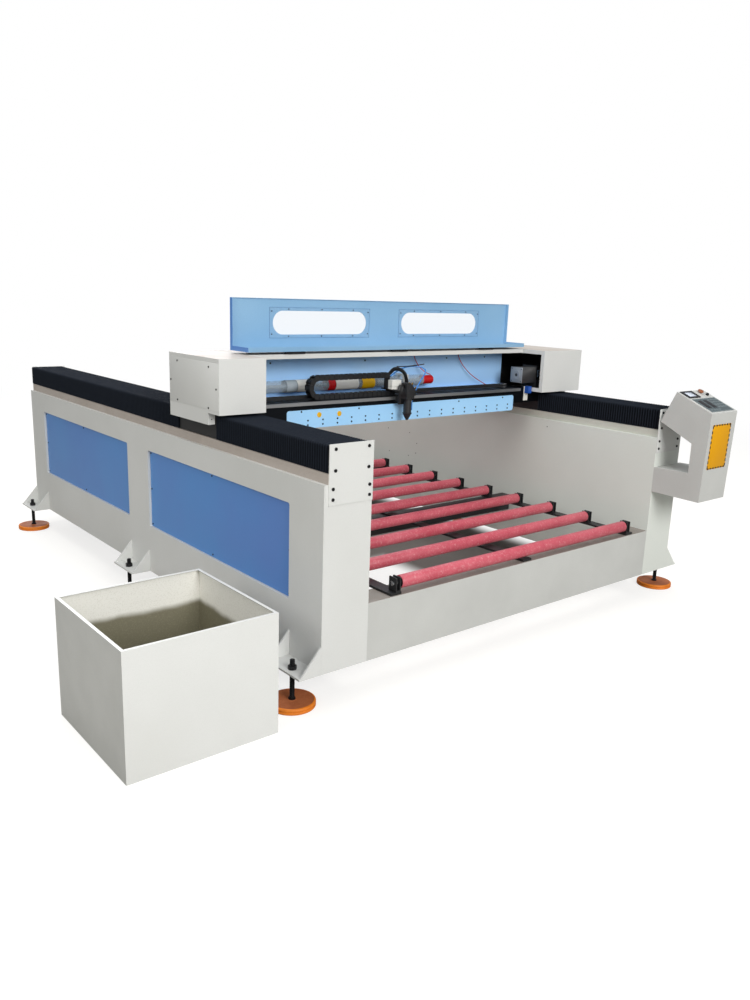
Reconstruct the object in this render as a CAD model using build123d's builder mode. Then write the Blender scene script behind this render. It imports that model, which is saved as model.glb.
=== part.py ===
from build123d import *
import math
import os

os.makedirs("parts", exist_ok=True)

# Overall sizes of the machine, in millimetres.
outer_width = 2310.0
frame_length = 3150.0
wall_width = 220.0
wall_bottom = 140.0
wall_top = 870.0
plate = 4.0
ledge_inset = 16.0
ledge_top = 910.0
weld_gap = 0.1

# Windows in the side frames and the panels that close them.
column_end = 220.0
column_middle = 240.0
window_bottom = 378.0
window_top = 760.0
window_radius = 9.0
panel_recess = 12.0
panel_sheet = 2.0
panel_gap = 1.0
tab_size = 26.0

# Cross beams and roller bed.
beam_top = 380.0
beam_depth = 120.0
member_width = 60.0
member_height = 90.0
bed_rail_width = 56.0
bed_rail_thickness = 10.0
bed_rail_offset = 340.0
roller_count = 14
roller_inset = 30.0
roller_radius = 27.0
roller_wall = 4.5
roller_axis_z = 424.0
roller_start = 400.0
shaft_radius = 10.0
shaft_overhang = 38.0
running_clearance = 0.05
bracket_cheek = 6.0
bracket_width = 44.0
bracket_gap = 14.0
bracket_offset = 14.0
bracket_rise = 25.0

# Levelling feet.
foot_reach = 98.0
foot_bracket_length = 220.0
foot_plate = 8.0
gusset_height = 112.0
foot_offset = 64.0
foot_end_distance = 95.0
pad_radius = 92.0
pad_thickness = 25.0
pad_socket = 12.0
stud_radius = 10.0
stud_collar_radius = 14.0
stud_top = 188.0
nut_across = 30.0
nut_height = 16.0

# Bellows and their end plates.
end_plate_thickness = 4.0
end_plate_bottom = 792.0
end_plate_top = 1016.0
end_plate_inset = 18.0
bellows_inset = 14.0
bellows_top = 1014.0
bellows_pitch = 30.0
bellows_fold = 6.0
bellows_wall = 10.0
bellows_clearance = 0.3

# Guides and gear racks along the walls.
rail_width = 20.0
rail_height = 18.0
rail_from_face = 65.0
rack_from_face = 130.0
rack_width = 20.0
gear_module = 3.0
tooth_height = 0.8
pinion_teeth = 15
rack_pitch_height = 17.0
tooth_backlash = 0.3
guide_end_gap = 12.0

# Gantry.
gantry_front = 700.0
gantry_rear = 1143.0
box_bottom = 1028.0
box_top = 1258.0
box_overhang = 26.0
left_box_inner = 199.0
right_box_inner = 2007.0
box_sheet = 2.0
box_flange = 22.0
skirt_bottom = 978.0
skirt_front = 795.0
lug_width = 32.0
truck_inset = 18.0
truck_front = 799.0
truck_rear = 1141.0
truck_bottom = 914.0
roof_front = 860.0
roof_hem = 21.0
deck_top = 1050.0
deck_bottom = 1026.0
girder_bottom = 966.0
girder_front = 800.0
girder_rear = 1035.0
girder_wall = 6.0
back_panel_y = 1040.0
lower_plate_left = 370.0
lower_plate_right = 1885.0
lower_plate_bottom = 925.0
lower_plate_top = 1010.0

# Hood, as it stands fully open.
hood_left = 203.0
hood_right = 2003.0
hinge_y = 854.0
hinge_z = 1264.0
hood_panel_y = 1006.0
hood_flange_z = 1270.0
hood_height = 230.0
hood_sheet = 2.0
hood_lip = 20.0
hood_free_lip = 5.0
window_length = 550.0
window_height = 108.0
window_spacing = 784.0
window_axis_z = 1391.0
pane_margin_x = 20.0
pane_margin_z = 16.0
pane_thickness = 3.0
hinge_width = 110.0
hinge_leaf = 32.0
hinge_radius = 5.0
hinge_pin_radius = 2.5
hinge_spacing = 625.0
hinge_first = 450.0

# Laser tube and its wires.
tube_y = 965.0
tube_z = 1100.0
tube_radius = 29.0
tube_left = 70.0
tube_right = 1330.0
cap_radius = 23.0
cap_length = 74.0
holder_width = 24.0
wire_radius = 2.0

# Head drive and laser head.
head_x = 1033.0
head_y = 732.0
head_travel = 1300.0
x_rail_height = 15.0
x_rail_thickness = 17.0
x_rail_bottom = 1032.0
x_rail_left = 230.0
x_rail_right = 1925.0
chain_y = 822.0
chain_width = 40.0
chain_height = 24.0
chain_bend_x = 552.0
chain_low_z = 1062.5
chain_bend_radius = 44.0
chain_pitch = 28.0
chain_end_x = 1010.0
chain_head_x = 970.0
chain_wall = 4.0
belt_axis_y = 876.0
belt_bottom = 1053.0
belt_width = 12.0
belt_thickness = 2.0
belt_gap = 0.8
idler_pin_radius = 5.0
x_pulley_radius = 18.0
x_motor_x = 120.0
x_idler_x = 1880.0
focus_travel = 8.0

# Gantry drive motor.
motor_size = 86.0
motor_left = 1940.0
motor_length = 110.0
motor_y = 835.0
motor_z = 1117.0
y_pulley_left = 2115.0
y_pulley_width = 15.0
motor_pulley_radius = 14.0
shaft_pulley_radius = 28.0
drive_shaft_radius = 10.0
drive_shaft_y = 970.0

# Console.
console_left = 2090.0
console_right = 2330.0
console_front = 277.0
console_sheet = 3.0

# Open box beside the machine.
box_gap = 222.0
tray_width = 568.0
tray_length = 575.0
tray_height = 457.0
tray_front = 52.0
tray_sheet = 2.0
tray_rim = 12.0

# Fasteners.
screw_radius = 3.0
screw_head_radius = 6.5
screw_head_height = 4.0
hole_clearance = 0.3
part_gap = 0.3

# The frame's origin is under the middle of the whole object, on the floor.
reach_left = box_gap + tray_width
reach_right = foot_offset + pad_radius
left = reach_left - (reach_left + outer_width + reach_right) / 2
right = left + outer_width
reach_back = end_plate_thickness + screw_head_height
front = console_front - (console_front + frame_length + reach_back) / 2
rear = front + frame_length
middle = (left + right) / 2


def block(x0, x1, y0, y1, z0, z1, mode=Mode.ADD):
    """A box between two corners, measured from the left wall's face, the front and the floor."""
    with Locations((left + x0, front + y0, z0)):
        Box(x1 - x0, y1 - y0, z1 - z0, align=(Align.MIN, Align.MIN, Align.MIN), mode=mode)


def rod(x0, x1, y, z, radius, mode=Mode.ADD):
    """A round bar along X."""
    with Locations(Location((left + x0, front + y, z), (0, 90, 0))):
        Cylinder(radius, x1 - x0, align=(Align.CENTER, Align.CENTER, Align.MIN), mode=mode)


def post(x, y, z0, z1, radius, mode=Mode.ADD):
    """A round bar along Z."""
    with Locations((left + x, front + y, z0)):
        Cylinder(radius, z1 - z0, align=(Align.CENTER, Align.CENTER, Align.MIN), mode=mode)


def bar(x, y0, y1, z, radius, mode=Mode.ADD):
    """A round bar along Y."""
    with Locations(Location((left + x, front + y0, z), (-90, 0, 0))):
        Cylinder(radius, y1 - y0, align=(Align.CENTER, Align.CENTER, Align.MIN), mode=mode)


def save(builder, name):
    builder.part.label = name
    export_step(builder.part, f"parts/{name}.step")
    print(name, len(builder.part.solids()), round(builder.part.volume))


def across(x, side):
    """A place measured from the left face on the left side, and mirrored on the right."""
    return x if side == "left" else outer_width - x


def span(x0, x1, side):
    """Two places in rising order on either side of the machine."""
    a = across(x0, side)
    b = across(x1, side)
    return min(a, b), max(a, b)


sides = ("left", "right")
window_length_y = (frame_length - 2 * column_end - column_middle) / 2
windows = (
    (column_end, column_end + window_length_y),
    (column_end + window_length_y + column_middle, frame_length - column_end),
)
foot_places = (foot_end_distance, frame_length / 2, frame_length - foot_end_distance)
foot_starts = (
    0.0,
    (frame_length - foot_bracket_length) / 2,
    frame_length - foot_bracket_length,
)
panel_screw_inset = 13.0


def panel_screws(y0, y1):
    """Screw places of one window panel: corners and the middles of the long and short edges."""
    inner = panel_screw_inset
    ys = (y0 + inner, (y0 + y1) / 2, y1 - inner)
    zs = (window_bottom + inner, (window_bottom + window_top) / 2, window_top - inner)
    return [(y, z) for y in ys for z in zs if not (y == ys[1] and z == zs[1])]


def end_plate_screws():
    """Screw places of an end plate, from the wall's outer face: four high, four low."""
    upper = [(x, z) for x in (45.0, 197.0) for z in (920.0, 998.0)]
    lower = [(x, z) for x in (36.0, 204.0) for z in (814.0, 853.0)]
    return upper, lower


upper_screws, lower_screws = end_plate_screws()

pitch_z = ledge_top + rack_pitch_height
tooth_pitch = math.pi * gear_module
pinion_radius = gear_module * pinion_teeth / 2
drive_shaft_z = pitch_z + pinion_radius
pressure_angle = math.radians(20)
pressure = math.tan(pressure_angle)
half_tooth = tooth_pitch / 4 - tooth_backlash / 2

for side in sides:
    with BuildPart() as side_frame:
        x0, x1 = span(0, wall_width, side)
        block(x0, x1, 0, frame_length, wall_bottom, wall_top)
        # The tubes are hollow and open below.
        h0, h1 = span(plate, wall_width - plate, side)
        block(h0, h1, plate, frame_length - plate, wall_bottom, window_bottom - plate, Mode.SUBTRACT)
        block(h0, h1, plate, frame_length - plate, window_top + plate, wall_top - plate, Mode.SUBTRACT)
        columns = (
            (plate, windows[0][0] - plate),
            (windows[0][1] + plate, windows[1][0] - plate),
            (windows[1][1] + plate, frame_length - plate),
        )
        for y0, y1 in columns:
            block(h0, h1, y0, y1, window_bottom - plate, window_top + plate, Mode.SUBTRACT)
        # Windows open outward, with the inner skin behind them.
        face = Plane.YZ.offset(left + across(0, side))
        depth = (wall_width - plate) * (1 if side == "left" else -1)
        with BuildSketch(face):
            for y0, y1 in windows:
                with Locations((front + (y0 + y1) / 2, (window_bottom + window_top) / 2)):
                    RectangleRounded(y1 - y0, window_top - window_bottom, window_radius)
        extrude(amount=depth, mode=Mode.SUBTRACT)
        # Tabs that the panels are screwed to.
        t0, t1 = span(panel_recess + panel_sheet, panel_recess + panel_sheet + plate, side)
        for y0, y1 in windows:
            for y, z in panel_screws(y0, y1):
                lower = z - window_bottom < tab_size
                upper = window_top - z < tab_size
                z0 = window_bottom - 1 if lower else z - tab_size / 2
                z1 = window_top + 1 if upper else z + tab_size / 2
                ya = y0 - 1 if y - y0 < tab_size else y - tab_size / 2
                yb = y1 + 1 if y1 - y < tab_size else y + tab_size / 2
                if lower:
                    z1 = window_bottom + tab_size
                if upper:
                    z0 = window_top - tab_size
                if y - y0 < tab_size:
                    yb = y0 + tab_size
                if y1 - y < tab_size:
                    ya = y1 - tab_size
                block(t0, t1, ya, yb, z0, z1)
                rod(t0 - 1, t1 + 1, y, z, screw_radius + hole_clearance, Mode.SUBTRACT)
        # Ledge under the guides, a closed tube section welded on top.
        l0, l1 = span(ledge_inset, wall_width - ledge_inset, side)
        block(l0, l1, 0, frame_length, wall_top, ledge_top)
        m0, m1 = span(ledge_inset + plate, wall_width - ledge_inset - plate, side)
        block(m0, m1, -1, frame_length + 1, wall_top, ledge_top - plate, Mode.SUBTRACT)
        # Screw holes for the end plates.
        for x, z in lower_screws:
            xs = across(x, side)
            bar(xs, -1, plate + 1, z, screw_radius + hole_clearance, Mode.SUBTRACT)
            bar(xs, frame_length - plate - 1, frame_length + 1, z, screw_radius + hole_clearance, Mode.SUBTRACT)
        # Three foot brackets, each a plate with two triangular gussets.
        out = -1 if side == "left" else 1
        for y_start, y_foot in zip(foot_starts, foot_places):
            b0, b1 = span(-foot_reach, 0, side)
            y_end = y_start + foot_bracket_length
            block(b0, b1, y_start, y_end, wall_bottom, wall_bottom + foot_plate)
            xs = across(-foot_offset, side)
            post(xs, y_foot, wall_bottom - 1, wall_bottom + foot_plate + 1, stud_radius + 1, Mode.SUBTRACT)
            for y0 in (y_start, y_end - foot_plate):
                with BuildSketch(Plane.XZ.offset(-(front + y0))):
                    with BuildLine():
                        corner = left + across(0, side)
                        tip = corner + out * foot_reach
                        Polyline(
                            (corner, wall_bottom),
                            (tip, wall_bottom),
                            (corner, wall_bottom + gusset_height),
                            close=True,
                        )
                    make_face()
                extrude(amount=-foot_plate)
        # Every plate stays a solid of its own, parted from the next along its weld.
        g = weld_gap
        y_low = -1.0
        y_high = frame_length + 1
        for a, b in ((plate, plate + g), (wall_width - plate - g, wall_width - plate)):
            s0, s1 = span(a, b, side)
            block(s0, s1, y_low, y_high, wall_bottom - 1, wall_top, Mode.SUBTRACT)
        s0, s1 = span(0, wall_width, side)
        block(s0, s1, y_low, y_high, wall_top, wall_top + g, Mode.SUBTRACT)
        block(s0, s1, y_low, y_high, ledge_top - plate - g, ledge_top - plate, Mode.SUBTRACT)
        for ya, yb in ((y_low, plate), (frame_length - plate, y_high)):
            block(s0, s1, ya, yb, wall_top - plate - g, wall_top - plate, Mode.SUBTRACT)
        corner_reach = tab_size + plate
        for z in (window_bottom - g, window_top):
            s0, s1 = span(-1, plate + g / 2, side)
            block(s0, s1, y_low, y_high, z, z + g, Mode.SUBTRACT)
            s0, s1 = span(plate, wall_width - plate, side)
            for y0, y1 in windows:
                block(s0, s1, y0 - plate - 1, y0 + corner_reach, z, z + g, Mode.SUBTRACT)
                block(s0, s1, y1 - corner_reach, y1 + plate + 1, z, z + g, Mode.SUBTRACT)
        s0, s1 = span(-g, 0, side)
        block(s0, s1, y_low, y_high, wall_bottom - 1, wall_bottom + gusset_height + 1, Mode.SUBTRACT)
        s0, s1 = span(-foot_reach - 1, 0, side)
        block(s0, s1, y_low, y_high, wall_bottom + foot_plate, wall_bottom + foot_plate + g, Mode.SUBTRACT)
    save(side_frame, f"side_frame_{side}")

with BuildPart() as side_panels:
    for side in sides:
        x_face = left + across(panel_recess, side)
        depth = panel_sheet * (1 if side == "left" else -1)
        for y0, y1 in windows:
            with BuildSketch(Plane.YZ.offset(x_face)):
                with Locations((front + (y0 + y1) / 2, (window_bottom + window_top) / 2)):
                    RectangleRounded(
                        y1 - y0 - 2 * panel_gap,
                        window_top - window_bottom - 2 * panel_gap,
                        window_radius - panel_gap,
                    )
            extrude(amount=depth)
            r0, r1 = span(panel_recess - 1, panel_recess + panel_sheet + 1, side)
            for y, z in panel_screws(y0, y1):
                rod(r0, r1, y, z, screw_radius + hole_clearance, Mode.SUBTRACT)
save(side_panels, "side_panels")

with BuildPart() as cross_beams:
    # Front and rear box beams with open ends against the walls.
    x0 = wall_width
    x1 = outer_width - wall_width
    for y0 in (0.0, frame_length - beam_depth):
        block(x0, x1, y0, y0 + beam_depth, wall_bottom, beam_top)
        block(x0, x1, y0 + plate, y0 + beam_depth - plate, wall_bottom + plate, beam_top - plate, Mode.SUBTRACT)
save(cross_beams, "cross_beams")

roller_pitch = (frame_length - 2 * roller_inset) / (roller_count - 1)
roller_places = [roller_inset + i * roller_pitch for i in range(roller_count)]
roller_end = outer_width - roller_start
member_places = (roller_places[4], roller_places[9])
rail_starts = (
    bed_rail_offset,
    (outer_width - bed_rail_width) / 2,
    outer_width - bed_rail_offset - bed_rail_width,
)

with BuildPart() as bed_rails:
    # Two low cross members carry the three flat rails between the beams.
    for y in member_places:
        block(wall_width, outer_width - wall_width, y - member_width / 2, y + member_width / 2,
              beam_top - member_height, beam_top)
        block(wall_width, outer_width - wall_width, y - member_width / 2 + plate, y + member_width / 2 - plate,
              beam_top - member_height + plate, beam_top - plate, Mode.SUBTRACT)
    for x0 in rail_starts:
        block(x0, x0 + bed_rail_width, 8, frame_length - 8, beam_top, beam_top + bed_rail_thickness)
save(bed_rails, "bed_rails")

bed_top = beam_top + bed_rail_thickness
shaft_start = roller_start - shaft_overhang
cheek_start = roller_start - bracket_offset
outer_cheek = cheek_start - bracket_gap - bracket_cheek
with BuildPart() as roller_brackets:
    # Each bracket is a channel, two cheeks on one foot, and holds the end of a fixed shaft.
    for y in roller_places:
        y0 = max(y - bracket_width / 2, 6.0)
        y1 = min(y + bracket_width / 2, frame_length - 6.0)
        for side in sides:
            f0, f1 = span(outer_cheek, cheek_start + bracket_cheek, side)
            block(f0, f1, y0, y1, bed_top, bed_top + bracket_cheek)
            for start in (outer_cheek, cheek_start):
                c0, c1 = span(start, start + bracket_cheek, side)
                block(c0, c1, y0, y1, bed_top, roller_axis_z + bracket_rise)
                rod(c0 - 1, c1 + 1, y, roller_axis_z, shaft_radius + running_clearance, Mode.SUBTRACT)
    for y in roller_places:
        rod(shaft_start, outer_width - shaft_start, y, roller_axis_z, shaft_radius)
save(roller_brackets, "roller_brackets")

for i, y in enumerate(roller_places):
    with BuildPart() as roller:
        rod(roller_start, roller_end, y, roller_axis_z, roller_radius)
        chamfer(roller.edges().filter_by(GeomType.CIRCLE), 1.5)
        rod(roller_start + 12, roller_end - 12, y, roller_axis_z, roller_radius - roller_wall, Mode.SUBTRACT)
        rod(roller_start - 1, roller_end + 1, y, roller_axis_z, shaft_radius + running_clearance, Mode.SUBTRACT)
    save(roller, f"roller_{i + 1:02d}")

with BuildPart() as foot_pads:
    for side in sides:
        for y in foot_places:
            with Locations((left + across(-foot_offset, side), front + y, 0)):
                Cylinder(pad_radius, pad_thickness, align=(Align.CENTER, Align.CENTER, Align.MIN))
    top_edges = foot_pads.edges().filter_by(GeomType.CIRCLE).group_by(Axis.Z)[-1]
    fillet(top_edges, 5)
    for side in sides:
        for y in foot_places:
            xs = across(-foot_offset, side)
            post(xs, y, pad_thickness - pad_socket, pad_thickness + 1, stud_radius + 0.5, Mode.SUBTRACT)
save(foot_pads, "foot_pads")

with BuildPart() as foot_studs:
    # Each foot has a stud with a collar that rests on the pad, and two locking nuts.
    for side in sides:
        for y in foot_places:
            xs = across(-foot_offset, side)
            post(xs, y, pad_thickness - pad_socket, stud_top, stud_radius)
            post(xs, y, pad_thickness, pad_thickness + 7, stud_collar_radius)
            for z in (wall_bottom - nut_height, wall_bottom + foot_plate):
                with BuildSketch(Plane.XY.offset(z)):
                    with Locations((left + xs, front + y)):
                        RegularPolygon(nut_across / 2, 6, major_radius=False)
                extrude(amount=nut_height)
save(foot_studs, "foot_studs")

rack_tooth_count = int((frame_length - 2 * guide_end_gap) / tooth_pitch) - 1


def rack_tooth(y, z):
    """Corner points of a rack tooth centred on y with its pitch line at z."""
    low = -1.25 * gear_module
    high = tooth_height * gear_module
    return [
        (y - half_tooth + pressure * low, z + low),
        (y + half_tooth - pressure * low, z + low),
        (y + half_tooth - pressure * high, z + high),
        (y - half_tooth + pressure * high, z + high),
    ]


with BuildPart() as guides:
    # Linear rails with waisted flanks that the bearing blocks run in.
    for side in sides:
        r0, r1 = span(rail_from_face, rail_from_face + rail_width, side)
        rail_top = ledge_top + rail_height
        block(r0, r1, guide_end_gap, frame_length - guide_end_gap, ledge_top, rail_top)
        for x in (r0, r1):
            block(x - 2.5, x + 2.5, 0, frame_length, ledge_top + 6, ledge_top + 11, Mode.SUBTRACT)
    # A gap of the rack lies straight under the pinion's axis.
    first = drive_shaft_y - tooth_pitch / 2
    start = first - math.floor((first - guide_end_gap) / tooth_pitch - 0.5) * tooth_pitch
    outline = [(front + guide_end_gap, pitch_z - 1.25 * gear_module)]
    for n in range(rack_tooth_count):
        a, b, c, d = rack_tooth(start + n * tooth_pitch, pitch_z)
        outline += [(front + a[0], a[1]), (front + d[0], d[1]), (front + c[0], c[1]), (front + b[0], b[1])]
    outline += [
        (rear - guide_end_gap, pitch_z - 1.25 * gear_module),
        (rear - guide_end_gap, ledge_top),
        (front + guide_end_gap, ledge_top),
    ]
    for side in sides:
        k0, k1 = span(rack_from_face, rack_from_face + rack_width, side)
        with BuildSketch(Plane.YZ.offset(left + k0)):
            with BuildLine():
                Polyline(*outline, close=True)
            make_face()
        extrude(amount=k1 - k0)
save(guides, "guides")

with BuildPart() as end_plates:
    for side in sides:
        p0, p1 = span(end_plate_inset, wall_width, side)
        for y0 in (-end_plate_thickness, frame_length):
            block(p0, p1, y0, y0 + end_plate_thickness, end_plate_bottom, end_plate_top)
            for x, z in upper_screws + lower_screws:
                bar(across(x, side), y0 - 1, y0 + end_plate_thickness + 1, z,
                    screw_radius + hole_clearance, Mode.SUBTRACT)
save(end_plates, "end_plates")

with BuildPart() as frame_screws:
    for side in sides:
        for y0, y1 in windows:
            for y, z in panel_screws(y0, y1):
                s0, s1 = span(panel_recess - screw_head_height, panel_recess, side)
                rod(s0, s1, y, z, screw_head_radius)
                s0, s1 = span(panel_recess, panel_recess + panel_sheet + plate + 3, side)
                rod(s0, s1, y, z, screw_radius)
        for x, z in upper_screws + lower_screws:
            xs = across(x, side)
            shank = end_plate_thickness + (plate + 3 if (x, z) in lower_screws else 0)
            y_plate = -end_plate_thickness
            bar(xs, y_plate - screw_head_height, y_plate, z, screw_head_radius)
            bar(xs, y_plate, y_plate + shank, z, screw_radius)
            y_plate = frame_length + end_plate_thickness
            bar(xs, y_plate, y_plate + screw_head_height, z, screw_head_radius)
            bar(xs, y_plate - shank, y_plate, z, screw_radius)
save(frame_screws, "frame_screws")


def bellows_section(x0, x1, fold):
    """Corner points of the arch-shaped section of a bellows, drawn in by the fold."""
    low = ledge_top + 2
    inner = bellows_wall + bellows_fold
    return [
        (x0 + fold, low),
        (x0 + fold, bellows_top - fold),
        (x1 - fold, bellows_top - fold),
        (x1 - fold, low),
        (x1 - inner, low),
        (x1 - inner, bellows_top - inner),
        (x0 + inner, bellows_top - inner),
        (x0 + inner, low),
    ]


def bellows(y0, y1):
    """Two pleated covers, one over each wall, between two places along the machine."""
    count = round((y1 - y0) / bellows_pitch)
    step = (y1 - y0) / (2 * count)
    with BuildPart() as cover:
        for side in sides:
            b0, b1 = span(bellows_inset, wall_width - bellows_inset, side)
            sections = []
            for n in range(2 * count + 1):
                fold = bellows_fold if n % 2 else 0.0
                with BuildSketch(Plane.XZ.offset(-(front + y0 + n * step))) as section:
                    with BuildLine():
                        Polyline(*bellows_section(left + b0, left + b1, fold), close=True)
                    make_face()
                sections.append(section.sketch)
            loft(sections=sections, ruled=True)
    return cover


save(bellows(bellows_clearance, truck_front - bellows_clearance), "front_bellows")
save(bellows(truck_rear + bellows_clearance, frame_length - bellows_clearance), "rear_bellows")

# Gantry pieces.
for side in sides:
    inner = left_box_inner if side == "left" else outer_width - right_box_inner
    with BuildPart() as end_box:
        e0, e1 = span(-box_overhang, inner, side)
        block(e0, e1, gantry_front, gantry_rear, box_bottom, box_top)
        i0, i1 = span(-box_overhang + box_sheet, inner - box_sheet, side)
        block(i0, i1, gantry_front + box_sheet, gantry_rear - box_sheet,
              box_bottom + box_sheet, box_top - box_sheet, Mode.SUBTRACT)
        o0, o1 = span(inner - box_sheet - 1, inner + 1, side)
        block(o0, o1, gantry_front + box_flange, gantry_rear - box_flange,
              box_bottom + box_flange, box_top - box_flange, Mode.SUBTRACT)
        # Skirt below the outer side, with a lug at each end.
        k0, k1 = span(-box_overhang, -box_overhang + box_sheet, side)
        block(k0, k1, skirt_front, gantry_rear, skirt_bottom, box_bottom)
        k0, k1 = span(-box_overhang, -box_overhang + lug_width, side)
        for y0 in (skirt_front, gantry_rear - box_sheet):
            block(k0, k1, y0, y0 + box_sheet, skirt_bottom, box_bottom)
            bar(across(-8, side), y0 - 1, y0 + box_sheet + 1, 1000, screw_radius, Mode.SUBTRACT)
        # Way through the floor of the box for the drive belt or the drive's wires.
        s0, s1 = span(outer_width - y_pulley_left - y_pulley_width - 6, outer_width - y_pulley_left + 6, side)
        block(s0, s1, truck_front + 14, truck_rear - 90, box_bottom - 1, box_bottom + box_sheet + 1, Mode.SUBTRACT)
    save(end_box, f"end_box_{side}")

with BuildPart() as trucks:
    # A black box over the guide on each wall, with a carrier plate and two bearing blocks inside.
    for side in sides:
        t0, t1 = span(truck_inset, wall_width - truck_inset, side)
        block(t0, t1, truck_front, truck_rear, truck_bottom, box_bottom)
        i0, i1 = span(truck_inset + plate, wall_width - truck_inset - plate, side)
        block(i0, i1, truck_front + plate, truck_rear - plate, truck_bottom, box_bottom, Mode.SUBTRACT)
        n0, n1 = span(rail_from_face - 16, rack_from_face + rack_width + 8, side)
        for y0 in (truck_front - 1, truck_rear - plate - 1):
            block(n0, n1, y0, y0 + plate + 2, truck_bottom, ledge_top + 32, Mode.SUBTRACT)
        c0, c1 = span(truck_inset + plate, rack_from_face - 10, side)
        block(c0, c1, truck_front + plate, truck_rear - plate, ledge_top + 34, ledge_top + 46)
        h0, h1 = span(wall_width - truck_inset - plate - 1, wall_width - truck_inset + 1, side)
        rod(h0, h1, drive_shaft_y, drive_shaft_z, drive_shaft_radius + part_gap, Mode.SUBTRACT)
        rail_gap = 0.3
        for y0 in (truck_front + 20, truck_rear - 97):
            b0, b1 = span(rail_from_face - 18, rail_from_face + rail_width + 18, side)
            block(b0, b1, y0, y0 + 77, ledge_top + 5, ledge_top + 34)
            b0, b1 = span(rail_from_face - rail_gap, rail_from_face + rail_width + rail_gap, side)
            block(b0, b1, y0, y0 + 77, ledge_top + 5, ledge_top + rail_height + rail_gap, Mode.SUBTRACT)
save(trucks, "trucks")

girder_left = wall_width - truck_inset
girder_right = outer_width - girder_left
with BuildPart() as gantry_beam:
    block(girder_left, girder_right, girder_front, girder_rear, girder_bottom, deck_bottom)
    block(girder_left - 1, girder_right + 1, girder_front + girder_wall, girder_rear - girder_wall,
          girder_bottom + girder_wall, deck_bottom - girder_wall, Mode.SUBTRACT)
    block(girder_left, right_box_inner, girder_front, girder_rear, deck_bottom, deck_top)
    # Pin of the idler pulley, standing on the deck.
    post(x_idler_x, belt_axis_y, deck_top, belt_bottom + belt_width + 6, idler_pin_radius)
    # Grooves in the deck's upper face, as in an extruded profile.
    for y in (girder_front + 104, girder_rear - 56):
        block(left_box_inner - 1, right_box_inner + 1, y, y + 8, deck_top - 6, deck_top + 1, Mode.SUBTRACT)
save(gantry_beam, "gantry_beam")

with BuildPart() as gantry_roof:
    x0 = left_box_inner
    x1 = right_box_inner
    block(x0, x1, roof_front, gantry_rear, box_top - box_sheet, box_top)
    block(x0, x1, roof_front, roof_front + box_sheet, box_top - roof_hem, box_top)
    block(x0, x1, gantry_rear - box_sheet, gantry_rear, box_bottom, box_top)
    block(x0, x1, girder_rear, gantry_rear, box_bottom, box_bottom + box_sheet)
    # Fixed halves of three butt hinges, with their pins.
    for n in range(3):
        xc = hinge_first + n * hinge_spacing
        for s in (-1, 1):
            a = xc + s * hinge_width / 2
            b = xc + s * hinge_width / 6
            x_a, x_b = min(a, b), max(a, b)
            block(x_a, x_b, hinge_y + 1, hinge_y + 8, box_top + 1.2, box_top + 4.5)
            rod(x_a, x_b, hinge_y, hinge_z, hinge_radius)
        block(xc - hinge_width / 2, xc + hinge_width / 2, hinge_y + 7, hinge_y + hinge_leaf,
              box_top, box_top + 2.5)
        rod(xc - hinge_width / 2, xc + hinge_width / 2, hinge_y, hinge_z, hinge_pin_radius)
save(gantry_roof, "gantry_roof")

with BuildPart() as gantry_panels:
    # The back panel stands on the deck, the lower plate is screwed to the front of the girder.
    y0 = girder_rear - 20
    block(left_box_inner, right_box_inner, y0, y0 + box_sheet, deck_top, box_top - box_sheet)
    block(left_box_inner, right_box_inner, y0 - 16, y0 + box_sheet, deck_top, deck_top + box_sheet)
    with BuildSketch(Plane.XZ.offset(-(front + girder_front - box_sheet))):
        x_mid = left + (lower_plate_left + lower_plate_right) / 2
        with Locations((x_mid, (lower_plate_bottom + lower_plate_top) / 2)):
            RectangleRounded(lower_plate_right - lower_plate_left, lower_plate_top - lower_plate_bottom, 12)
            with Locations((35.5, -17)):
                with GridLocations(84.6, 21, 17, 2):
                    Circle(3, mode=Mode.SUBTRACT)
    extrude(amount=-box_sheet)
save(gantry_panels, "gantry_panels")

with BuildPart() as x_rail:
    y0 = girder_front - x_rail_thickness
    rail_top = x_rail_bottom + x_rail_height
    block(x_rail_left, x_rail_right, y0, girder_front, x_rail_bottom, rail_top)
    for z in (x_rail_bottom, rail_top):
        block(x_rail_left - 1, x_rail_right + 1, y0 + 6, y0 + 10, z - 2, z + 2, Mode.SUBTRACT)
save(x_rail, "x_rail")

def belt_tangents(grow):
    """Four points where a band round both pulleys of the gantry drive leaves them."""
    across_y = drive_shaft_y - motor_y
    across_z = drive_shaft_z - motor_z
    distance = math.hypot(across_y, across_z)
    heading = math.atan2(across_z, across_y)
    lean = math.acos((motor_pulley_radius - shaft_pulley_radius) / distance)
    ends = (
        (motor_y, motor_z, motor_pulley_radius + grow),
        (drive_shaft_y, drive_shaft_z, shaft_pulley_radius + grow),
    )
    points = []
    for turn, order in ((lean, (0, 1)), (-lean, (1, 0))):
        for n in order:
            y, z, radius = ends[n]
            points.append((
                front + y + radius * math.cos(heading + turn),
                z + radius * math.sin(heading + turn),
            ))
    return points


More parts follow.
